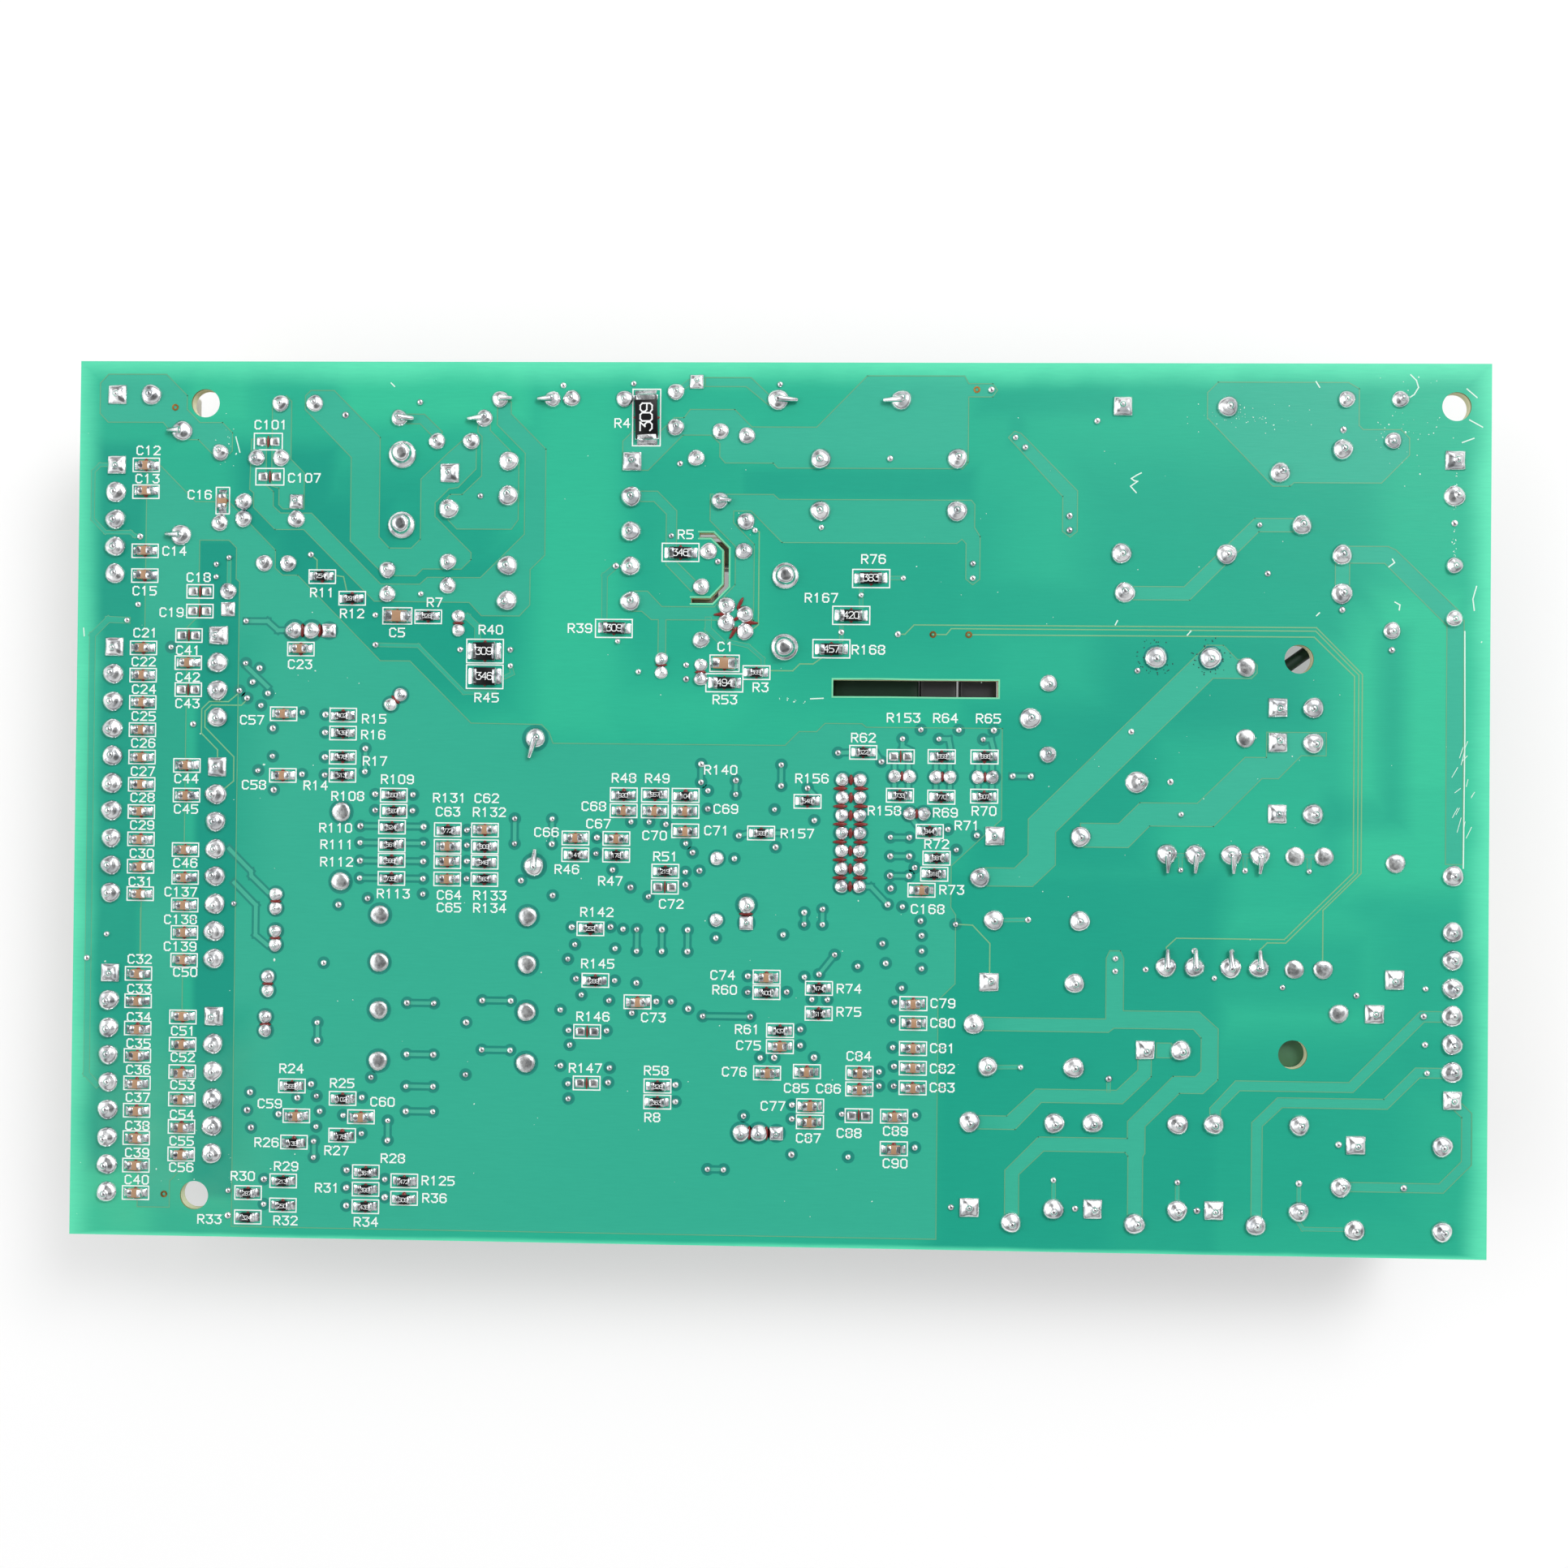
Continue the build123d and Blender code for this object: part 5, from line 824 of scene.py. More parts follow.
# drops of adhesive that held the chips before soldering
drop = turned([1.0, 0.96, 0.7, 0.3], [-0.05, 0.45, 0.85, 1.0], 12)
dropShapes = []
for centres, turns, reach in glueDots:
    count = len(centres)
    sizes = np.column_stack([dropLook["length"] * mm * rng.uniform(*dropLook["lengths"], count),
                             reach * rng.uniform(*dropLook["widths"], count),
                             np.full(count, dropLook["height"] * mm)])
    dropShapes.append(repeatShape(drop, centres, turns, sizes))
stripGroups = [  # strips between close joints: places, half length, half width, angle from across in degrees
    ([(111, 61.1 + 2.55 * row) for row in range(6)], 1.05, 0.27, 0),
    ([(113.95, 61.1 + 2.55 * row) for row in range(6)], 1.05, 0.27, 0),
    ([(112.5, 59.85 + 2.54 * row) for row in range(7)], 0.8, 0.3, 90),
    ([(33, 39), (35.5, 39), (98.4, 110.5), (100.9, 110.5)], 1.0, 0.24, 90),
    ([(29.6, 78.2), (29.6, 83.5), (28.6, 90.1), (28.3, 96), (85.1, 43.6), (90.75, 44.6), (55.7, 37.8)],
     0.85, 0.21, 0),
    ([(119.75, 59.25), (125.5, 59.25), (131.6, 59.25), (121.9, 64.6)], 0.75, 0.2, 90),
    ([(97.65, 79.2)], 1.05, 0.22, 0), ([(46.7, 48.9)], 0.85, 0.2, -45), ([(93.7, 36.25)], 1.2, 0.26, 4),
    ([(97.9, 37.45)], 1.1, 0.26, -3), ([(96.35, 34.7)], 1.0, 0.27, 64), ([(95.4, 38.9)], 1.05, 0.27, 60),
    ([(95.8, 36.9)], 0.9, 0.25, 35),
]
strips = np.array([(*place, *rest) for places, *rest in stripGroups for place in places])
stripSizes = np.column_stack([strips[:, 2:4], np.full(len(strips), dropLook["stripHeight"])]) * mm
dropShapes.append(repeatShape(drop, onBoard(strips[:, :2]), np.radians(strips[:, 4]), stripSizes))
makePiece("adhesive_drops", merge(dropShapes), "glue", sharpAngle=60)

# places left without a chip, with two tinned pads, a drop of adhesive and a frame round them:
# centre, frame length and width
emptyPlaces = [
    (17.95, 33.45, 3.85, 1.95), (17.95, 36.3, 3.85, 1.95), (16.4, 39.85, 3.85, 1.95),
    (16.4, 47.7, 3.85, 1.95), (27.65, 11.65, 4.1, 2.4), (27.95, 16.75, 4.1, 2.4), (85.95, 75.5, 3.85, 1.95),
    (75, 96.35, 3.85, 1.95), (75, 103.75, 3.85, 1.95), (119.55, 56.45, 3.85, 1.95),
    (114.05, 107.8, 3.85, 1.95),
]
emptyLook = {"padReach": 0.98, "pad": (0.72, 0.66, 0.32), "drop": (0.16, 0.9, 0.2)}  # mm
padShape = turned([1.0, 0.96, 0.7, 0.3], [-0.05, 0.5, 0.85, 1.0], 16, [0.85, 0.85, 0.7, 0.4])
padPlaces = [(u + side * emptyLook["padReach"], v) for u, v, a, b in emptyPlaces for side in (-1, 1)]
dropPlaces = [row[:2] for row in emptyPlaces]
for name, shape, places, size, finish, slotName in (
        ("empty_pads", padShape, padPlaces, "pad", "solder", "solder"),
        ("empty_place_adhesive", drop, dropPlaces, "drop", "glue", "black_moulding")):
    copies = repeatShape(shape, onBoard(places), 0, np.array(emptyLook[size]) * mm)
    makePiece(name, copies, finish, sharpAngle=60)
for u, v, a, b in emptyPlaces:
    frameSegments.append(lineSegments(rim((u - a / 2, v - b / 2), (u + a / 2, v + b / 2))))
print("chips made")

# printed legend: plain running numbers beside the chips
labels = {  # letter: places, and how many characters each label has
    "C": ([
        28, 9.2, 10.1, 13, 10, 17.1, 14.1, 27.6, 9.8, 33.4, 17.7, 19.4, 33, 16.9, 17.7, 31.4, 13.8, 36.5,
        46.8, 39.2, 10, 39.5, 9.8, 43.7, 32.7, 43.9, 9.9, 47.7, 9.9, 51.6, 9.9, 55.5, 9.9, 59.6, 9.9, 63.4,
        9.9, 67.4, 9.9, 71.5, 9.8, 75.6, 9.8, 86.8, 9.8, 91.1, 9.8, 95.2, 9.8, 99, 9.8, 102.8, 9.8, 106.8,
        9.8, 110.9, 9.8, 114.8, 9.8, 118.7, 16.3, 42, 16.3, 45.9, 16.3, 49.7, 16.3, 60.6, 16.3, 65,
        16.3, 72.8, 15.7, 77, 15.7, 81, 15.7, 84.9, 16.5, 88.6, 16.3, 97.1, 16.3, 100.9, 16.3, 104.9,
        16.3, 109.2, 16.3, 113, 16.3, 116.8, 25.8, 52, 26.2, 61.4, 29.1, 107.4, 45.5, 106.9, 94.3, 40.9,
        60.1, 63, 54.5, 65, 54.8, 77, 54.8, 78.8, 68.8, 67.8, 76.3, 66.5, 75.6, 64, 94.6, 64.2, 84.4, 68.1,
        93.3, 67.3, 86.9, 77.9, 84.5, 94.2, 94.4, 88, 98.2, 98, 96.2, 101.8, 101.8, 106.6, 123.6, 78.2,
        125.9, 91.6, 125.9, 94.4, 125.9, 98, 125.9, 100.9, 125.9, 103.6, 114, 99.3, 105.1, 104, 109.7, 104,
        106.9, 111.1, 112.7, 110.3, 119.3, 109.9, 119.3, 114.5,
    ], "43333343323333333333333333333333333344433333333333233333333333333334333333333333"),
    "R": ([
        35.8, 33.5, 40.2, 36.5, 52.2, 34.8, 35.2, 61.4, 43.6, 51.7, 43.5, 54, 43.8, 57.8, 39.9, 62.9,
        47.1, 60.4, 38.2, 67.5, 38.4, 69.9, 38.4, 72.4, 46.7, 76.9, 32.2, 102.3, 39.6, 104.3, 28.7, 113,
        38.9, 114, 47.1, 115, 31.6, 116.4, 25.3, 117.9, 37.6, 119.4, 31.6, 124.2, 20.5, 124.2, 43.3, 124.2,
        53.7, 118.1, 53.2, 120.6, 79.1, 8.8, 88.4, 24.8, 73.3, 38.4, 60.4, 38.7, 54.7, 63, 60.5, 65,
        60.7, 77, 60.7, 78.8, 59.9, 48.5, 71.8, 73.1, 78.1, 74.7, 79.9, 59.9, 84.7, 59.9, 93.8, 58.6,
        86, 71.1, 76.2, 79.2, 94.3, 48.5, 99.4, 46.7, 76.4, 86.6, 75.8, 94.2, 74.8, 101.6, 85, 101.8,
        84.5, 108.5, 94.7, 90.1, 98, 95.7, 114.2, 53.8, 119.9, 50.9, 125.9, 50.9, 132, 50.9, 106.9, 59.7,
        104.9, 67.6, 117.3, 64.2, 126, 64.4, 131.5, 64.1, 129.1, 66.2, 124.8, 68.9, 127, 75.4, 112.5, 89.7,
        112.5, 93, 115.4, 28.2, 108, 33.8, 114.8, 41.2,
    ], "33233334444443333333333343223344443333343432444323334334443333333344"),
}
legendLook = {"height": 1.2, "advance": 1.25, "stroke": 0.19, "frame": 0.17}
legend = []
for letter, (places, lengths) in labels.items():
    for number, (place, length) in enumerate(zip(np.reshape(places, (-1, 2)), lengths)):
        digits = {"2": (number + 4) % 9 + 1, "3": number + 11, "4": number + 101}[length]
        legend.append(writeText(letter + str(digits), place, legendLook["height"], legendLook["advance"]))
for name, segments, width in (("printed_numbers", legend, legendLook["stroke"]),
                              ("printed_frames", frameSegments, legendLook["frame"])):
    lines = bars(np.concatenate(segments), width, layers["legend"])
    makePiece(name, lines, "legend", smooth=False)
print("printed legend made")

# marks of milling, soldering and handling
milledLines = [  # rims of the long slot and of the bent slot
    [109.7, 45.4, 116, 45.35, 122, 45.42, 133.5, 45.4, 133.5, 48, 127, 48.02, 118, 47.97, 109.7, 48,
     109.7, 45.4], [89.2, 33.8, 92, 33.8, 93.8, 31.9, 93.8, 27.1, 92.1, 25.4, 90.3, 25.4],
    [89.2, 34.8, 92.4, 34.8, 94.8, 32.3, 94.8, 26.7, 92.5, 24.4, 90.3, 24.4],
]
scratches = [
    [153.4, 15.7, 152.8, 16, 152, 16.5, 152.4, 16.8, 152.9, 16.9, 151.9, 17.6, 152.7, 18.5],
    [191.3, 1.6, 192.1, 2.4, 192.4, 3.4, 191.8, 4.4, 190.9, 5], [189.3, 33.9, 190, 34.3, 189.9, 35],
    [188.4, 28.9, 189.2, 28.3, 188.9, 27.8], [200.7, 31.6, 200.2, 33.4, 200.4, 35], [178, 2.6, 178.5, 3.4],
    [45.5, 3.1, 46, 3.6], [0.9, 38.9, 1, 40], [199.2, 3.6, 200.6, 4.8], [199.6, 8, 201.4, 9],
    [198.6, 11.2, 200.2, 10.6], [149.9, 37.4, 150.2, 36.8], [160.1, 38.8, 160.6, 38.2],
    [178.3, 35.9, 178.7, 35.5], [199.1, 38, 199.2, 52, 199.1, 71.5], [106.6, 48.3, 108.4, 48.2],
    [22.9, 11, 23.5, 13.2], [8.8, 120.2, 10.4, 121],
]
dustPatches = [  # centre, spread both ways, number
    (168, 7.4, 4, 1, 60), (197.7, 17.5, 0.15, 1.8, 20), (197.6, 25.6, 0.15, 1.4, 18), (192, 8.5, 3, 3, 30),
    (190, 12, 2, 3, 18), (22, 13, 1.2, 3, 14), (30, 50, 14, 8, 20), (60, 90, 30, 18, 46),
    (150, 30, 22, 14, 30), (16, 118, 8, 4, 30), (110, 100, 8, 12, 16), (170, 60, 16, 12, 24),
    (88, 30, 10, 12, 14), (104, 48.4, 1.2, 0.3, 12),
]
strokes = rng.uniform((197.8, 53.0), (201.0, 66.0), (14, 2))  # where they start, then how far they run
strokes = np.stack([strokes, strokes + rng.uniform((-0.9, 0.6), (-0.2, 2.2), (14, 2))], 1)
fluxedJoints = [(155.7, 42.0), (163.4, 42.0)]
marksLook = {  # width and height in mm, then the radius of a stain and the reach of its burnt specks
    "milled": (0.22, 0.02), "scratch": (0.17, 0.024), "stroke": (0.09, 0.022), "stain": (1.75, 0.010),
    "burnt": (1.7, 2.9), "burntCount": 60,
}
rims = bars(allSegments(milledLines), *marksLook["milled"])
makePiece("milled_slot_rims", rims, "milledEdge", smooth=False)
deep = bars(allSegments(scratches), *marksLook["scratch"])
faint = bars(allSegments(strokes), *marksLook["stroke"])
makePiece("fine_scratches", merge([deep, faint]), "fluxDust", smooth=False)
speck = turned([1.0, 0.9, 0.4], [-0.3, 0.3, 1.0], 6)
spots = np.concatenate([rng.normal((u, v), (a, b), (count, 2)) for u, v, a, b, count in dustPatches])
spots = spots[(spots > 1).all(1) & (spots[:, 0] < 201.5) & (spots[:, 1] < 125)]
count = len(spots)
grains = rng.lognormal(-2.75, 0.35, count)
dust = repeatShape(speck, onBoard(spots), rng.uniform(0, 6, count), np.column_stack(
    [grains, grains * rng.uniform(0.6, 1.6, count), np.full(count, 0.035)]) * mm)
makePiece("flux_dust", dust, "fluxDust", sharpAngle=40)
stains = discs(fluxedJoints, *marksLook["stain"], 28)
makePiece("flux_stains", stains, "fluxStain", smooth=False)
count = marksLook["burntCount"]
angle, reach = rng.uniform(0, 2 * np.pi, count), rng.uniform(*marksLook["burnt"], count)
spots = np.array(fluxedJoints)[np.arange(count) % 2]
spots += np.column_stack([np.cos(angle), np.sin(angle)]) * reach[:, None]
burnt = repeatShape(speck, onBoard(spots), angle, np.column_stack(
    [rng.uniform(0.05, 0.17, count), rng.uniform(0.05, 0.12, count), np.full(count, 0.05)]) * mm)
makePiece("burnt_flux_specks", burnt, "burntFlux", sharpAngle=40)
print("slot rims, scratches and flux made")


# component side: shapes hang below the board, so heights run down from the underside
def roundRing(length, width, corner, inset, z, steps=3):
    # rectangle with round corners, drawn in by inset; steps points on each quarter circle
    quarter = np.linspace(0, np.pi / 2, steps + 1)
    turn = (np.arange(4)[:, None] * np.pi / 2 + quarter[None]).ravel()
    sx, sy = np.repeat([1, -1, -1, 1], steps + 1), np.repeat([1, 1, -1, -1], steps + 1)
    reach = max(corner - inset, 0.02 * mm)
    x = sx * (length / 2 - inset - reach) + reach * np.cos(turn)
    y = sy * (width / 2 - inset - reach) + reach * np.sin(turn)
    return np.stack([x, y, np.full(len(x), z)], -1)


def boxBlock(low, high, corner, lip, steps=2):
    # round cornered plan; its rim is drawn in along a quarter circle at both ends, then runs level
    (length, width, height), corner, lip = high - low, corner * mm, lip * mm
    bend = np.linspace(0, np.pi / 2, steps + 1)
    inset = np.concatenate([[min(3 * lip, 0.4 * min(length, width))], lip * (1 - np.sin(bend))])
    rise = np.concatenate([[0], lip * (1 - np.cos(bend))])
    stops = list(zip(inset, rise)) + list(zip(inset[::-1], height - rise[::-1]))
    vertices, faces = stackRings(np.stack([roundRing(length, width, corner, i, z, steps) for i, z in stops]))
    return vertices + np.array([(low[0] + high[0]) / 2, (low[1] + high[1]) / 2, low[2]]), faces


def alongX(shape):  # a shape turned about Z becomes one turned about X
    vertices, faces = shape
    return vertices[:, [2, 0, 1]], faces


def fitted(shape, low, high):
    # unit shape (-1 to 1 in plan, 0 to 1 in height) stretched into each box
    low, high = np.atleast_2d(low), np.atleast_2d(high)
    centre, half = (low + high) / 2, (high - low) / 2
    centre[:, 2] = low[:, 2]
    return repeatShape(shape, centre, 0, np.column_stack([half[:, :2], high[:, 2] - low[:, 2]]))


def tubeAlong(path, radius, sides=8):
    # circles square to the path, one at each of its points
    path = np.asarray(path, float)
    along = np.gradient(path, axis=0)
    along /= np.linalg.norm(along, axis=1, keepdims=True)
    reference = np.array([0, 0, 1.0])
    if np.abs(along[:, 2]).max() >= 0.9:
        span = path[-1] - path[0]
        reference = np.cross(span / np.linalg.norm(span), reference)
    side = np.cross(along, reference)
    side /= np.linalg.norm(side, axis=1, keepdims=True)
    up = np.cross(side, along)
    angle = np.arange(sides) * 2 * np.pi / sides
    rings = path[:, None] + radius * (np.cos(angle)[None, :, None] * side[:, None]
                                      + np.sin(angle)[None, :, None] * up[:, None])
    return stackRings(rings[:, ::-1])


def bentLead(start, foot):
    # runs level from the body, turns up on a quarter circle and ends in the board above the foot
    look = {"radius": 0.32, "bend": 1.0, "intoBoard": 0.3}  # mm
    level = np.array([foot[0] - start[0], foot[1] - start[1], 0.0])
    length = np.linalg.norm(level)
    level /= length
    bend = min(look["bend"] * mm, length * 0.8, (underside - start[2]) * 0.9)
    t = np.linspace(0, np.pi / 2, 6)[:, None]
    corner = start + level * (length - bend)
    arc = corner + level * bend * np.sin(t) + np.array([0, 0, 1.0]) * bend * (1 - np.cos(t))
    top = np.array([foot[0], foot[1], underside + look["intoBoard"] * mm])
    return tubeAlong(np.concatenate([[start], arc, [top]]), look["radius"] * mm)


def leadPair(centre, axis):
    # nearest joint on either side of a body, in line with its axis
    aside, nearest, farthest = 0.7 * mm, 1.5 * mm, 30 * mm
    offset = allJoints[:, :2] - centre[:2]
    across = np.abs(offset[:, 0] * axis[1] - offset[:, 1] * axis[0])
    found = []
    for sign in (-1, 1):
        along = offset @ axis * sign
        index = np.where((across < aside) & (along > nearest) & (along < farthest))[0]
        found.append(allJoints[index[np.argmin(along[index])]])
    return found


def toUnderside(shape):
    # a shape on the solder side becomes its mirror image on the component side
    points, faces = shape
    points[:, 2] = underside - (points[:, 2] - solderSide)
    return points, [array[:, ::-1] for array in faces]


def buildController():
    look = {"legs": 11, "pitch": 0.8, "out": 1.3, "width": 0.34, "thick": 0.16, "stand": 1.0,
            "markPlace": 1.6, "mark": (0.6, 0.6, -0.02)}  # mm
    low, high = boxOf("microcontroller")
    centre, half = (low + high) / 2, (high - low) / 2
    # a leg is flat wire: it leaves the body level, drops to the board and turns out along it
    stand = look["stand"]
    stations = np.array([(-0.3, -stand), (0.35, -stand), (0.62, -0.55 * stand), (0.85, -0.12),
                         (look["out"], -0.09)]) * mm
    section = np.array([look["width"], look["thick"]])
    corner = np.array([(-1, -1), (1, -1), (1, 1), (-1, 1)]) * section * mm / 2
    leg = stackRings(np.stack([np.column_stack([np.full(4, x), corner[:, 0], z + corner[:, 1]])
                               for x, z in stations]))
    row = (np.arange(look["legs"]) - (look["legs"] - 1) / 2) * look["pitch"] * mm
    places, turns = [], []
    for side in range(4):
        cos, sin = math.cos(side * math.pi / 2), math.sin(side * math.pi / 2)
        out = half[side % 2]
        places.append(np.column_stack([centre[0] + cos * out - sin * row, centre[1] + sin * out + cos * row,
                                       np.full(len(row), underside)]))
        turns.append(np.full(len(row), side * math.pi / 2))
    makePiece("controller_legs", repeatShape(leg, np.concatenate(places), np.concatenate(turns)), "tinned")
    place = (low[0] + look["markPlace"] * mm, high[1] - look["markPlace"] * mm, low[2])
    dot = turned([1.0, 0.95, 0.3], [0.0, 0.8, 1.0], 16)
    mark = repeatShape(dot, [place], 0, np.array(look["mark"]) * mm)
    makePiece("controller_first_leg_mark", mark, "bandSilver", sharpAngle=40)


def buildUnderLegend():
    look = {"stroke": 0.18, "gap": 0.45, "rim": 0.3, "edge": 0.3, "hole": (0.42, 0.42, -0.12)}  # mm
    gap, lines = look["gap"] * mm, []
    for node in ("relays", "film_capacitors", "terminals", "axial_diodes", "axial_resistors",
                 "small_capacitors", "reservoir_capacitors", "optocoupler"):
        for a, b in zip(*solidBoxes(node)):
            corner = rim(a[:2] - gap, b[:2] + gap)
            if node in ("small_capacitors", "reservoir_capacitors"):
                turn = np.linspace(0, 2 * np.pi, 25)
                across = corner[1, 0] - corner[0, 0]
                corner = (a + b)[:2] / 2 + np.stack([np.cos(turn), np.sin(turn)], 1) * across / 2
            lines.append(chain(corner))
    lines = np.concatenate(lines)
    inside = np.abs(lines) < np.array([abs(panelLow.x), panelHigh.y]) - look["rim"] * mm
    frames = bars(lines[inside.all((1, 2))], look["stroke"], 0.03)
    plate = [  # copper areas of this side, where the laminate looks darker from the other
        (17.6, 26, 24.6, 116), (24, 12, 62, 48), (96, 15, 130, 20), (102, 24, 130, 44), (147, 46, 172, 56),
        (128, 76, 164, 124), (166, 102, 200, 124), (80, 12, 94, 23), (150, 64, 164, 72),
    ]
    outlines, fields = [], []
    for left, top, right, bottom in plate:
        row = lineSegments([left, (top + bottom) / 2, right, (top + bottom) / 2])
        outlines.append(bars(row, bottom - top + look["edge"], 0.004, look["edge"] / 2))
        fields.append(bars(row, bottom - top, 0.009, 0.0))
    for name, shapes, finish in (("copper_edges", outlines, "copperEdge"),
                                 ("copper", fields, "coveredCopper")):
        makePiece("component_side_" + name, toUnderside(merge(shapes)), finish,
                  smooth=False)
    holes = repeatShape(viaDome, onBoard(viaPlaces, underside), 0, np.array(look["hole"]) * mm)
    makePiece("component_side_small_holes", holes, "solder", sharpAngle=40)
    makePiece("component_side_frames", toUnderside(frames), "legend", smooth=False)


def buildRelays():
    look = {"corner": 1.0, "lip": 0.6, "skirt": 0.35, "skirtHeight": 2.2, "skirtLip": 0.15,
            "ventPlace": 0.22, "ventRadius": 0.9, "ventHeight": 0.25}  # mm, and a share of the length
    skirt, raised = look["skirt"] * mm, look["ventHeight"] * mm
    vent = turned([1.0, 1.0, 0.9], [0.0, 0.8, 1.0], 20)
    ventSize = np.array([look["ventRadius"], look["ventRadius"], -look["ventHeight"]]) * mm
    shapes = []
    for a, b in zip(*solidBoxes("relays")):
        low, high = a + [skirt, skirt, raised], b - [skirt, skirt, 0]
        shapes.append(boxBlock(low, high, look["corner"], look["lip"], 3))
        base = np.array([a[0], a[1], b[2] - look["skirtHeight"] * mm])
        shapes.append(boxBlock(base, b, look["corner"], look["skirtLip"]))
        place = (a[0] * (1 - look["ventPlace"]) + b[0] * look["ventPlace"], (a[1] + b[1]) / 2, a[2] + raised)
        shapes.append(repeatShape(vent, [place], 0, ventSize))
    makePiece("relay_cases", merge(shapes), "relayCase", ["relays"])


def connectorShape(node, wallSide):
    # L profile along the row, with a ramp on the wall and a rib on its outer face at each place
    look = {"base": 3.2, "wall": 1.3, "rampHeight": 1.6, "rampReach": 0.7, "rampWidth": 2.4, "pitch": 3.96,
            "lean": 0.35, "bite": 0.1, "end": 0.2, "rampTop": 1.0, "ribTop": 1.2, "ribWidth": 0.8}  # mm
    low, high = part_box(node)
    outer, inner = (high.x, low.x) if wallSide > 0 else (low.x, high.x)
    wallInner = outer - wallSide * look["wall"] * mm
    baseBottom = underside - look["base"] * mm
    lean, end, bite = look["lean"] * mm, look["end"] * mm, wallSide * look["bite"] * mm
    profile = np.array([
        (inner, underside), (inner, baseBottom + lean), (inner + wallSide * lean, baseBottom),
        (wallInner, baseBottom), (wallInner, low.z + lean), (wallInner + wallSide * lean, low.z),
        (outer - wallSide * lean, low.z), (outer, low.z + lean), (outer, underside),
    ])[::wallSide]

    def level(points, y):
        return np.column_stack([points[:, 0], np.full(len(points), y), points[:, 1]])

    middle = profile.mean(0)
    drawn = middle + (profile - middle) * (1 - 0.04)
    stops = ((drawn, high.y), (profile, high.y - end), (profile, low.y + end), (drawn, low.y))
    shapes = [stackRings(np.stack([level(points, y) for points, y in stops]))]
    tall, wide = look["rampHeight"] * mm, look["rampWidth"] * mm / 2
    rampTop = low.z + look["rampTop"] * mm
    nose = wallInner - wallSide * (look["rampReach"] * mm)
    ramp = np.array([(wallInner + bite, rampTop), (nose, rampTop + tall * 0.9),
                     (wallInner + bite, rampTop + tall)])[::wallSide]
    for place in range(round((high.y - low.y) / mm / look["pitch"])):
        y = high.y - (place + 0.5) * look["pitch"] * mm
        shapes.append(stackRings(np.stack([level(ramp, y - wide), level(ramp, y + wide)])))
        rib = np.array([(outer - bite, y - look["ribWidth"] / 2 * mm, low.z + look["ribTop"] * mm),
                        (outer, y + look["ribWidth"] / 2 * mm, baseBottom)])
        shapes.append(boxBlock(rib.min(0), rib.max(0), 0.03, 0.02, 1))
    return merge(shapes)


def buildConnectors():
    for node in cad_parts:
        if node.startswith("connector_") and node != "connector_pins":
            shape = connectorShape(node, -1 if node == "connector_mains" else 1)
            makePiece(node + "_housing", shape, "nylon", [node], sharpAngle=30)
    taper = turned([0.30, 0.95, 1.0, 1.0], [0.0, 0.12, 0.16, 1.0], 8, 0.9)
    for node, name in (("connector_pins", "connector_pins"), ("pin_header_pins", "header_pins")):
        pins = fitted(taper, *solidBoxes(node))
        makePiece(name + "_tapered", pins, "tinned", [node], sharpAngle=30)
    look = {"corner": 0.5, "pinLow": 0.8, "pinRadius": 0.5, "tipRadius": 0.42}  # mm
    shapes, pins = [], []
    for a, b in zip(*solidBoxes("terminals")):
        size, centre = b - a, (a + b) / 2
        steps = ((1.0, size[2] * 0.72), (1.0, 0.15 * mm), (0.85, 0), (0.2, 0), (0, 0.2 * mm), (0, size[2]))
        rings = [roundRing(size[0], size[1], look["corner"] * mm, inset * mm, z) for inset, z in steps]
        shapes.append(stackRings(np.stack(rings) + [centre[0], centre[1], a[2]]))
        lengthwise = int(size[1] > size[0])
        for sign in (-1, 1):
            foot = centre.copy()
            foot[lengthwise] += sign * size[lengthwise] / 4
            start = (foot[0], foot[1], b[2])
            tip = (foot[0] + 1e-6, foot[1], a[2] + look["pinLow"] * mm)  # a hair off upright, to have a side
            pins.append(taperedRod(start, tip, look["pinRadius"] * mm, look["tipRadius"] * mm))
    makePiece("terminal_pins", merge(pins), "tinned", sharpAngle=40)
    makePiece("terminal_housings", merge(shapes), "nylon", ["terminals"])


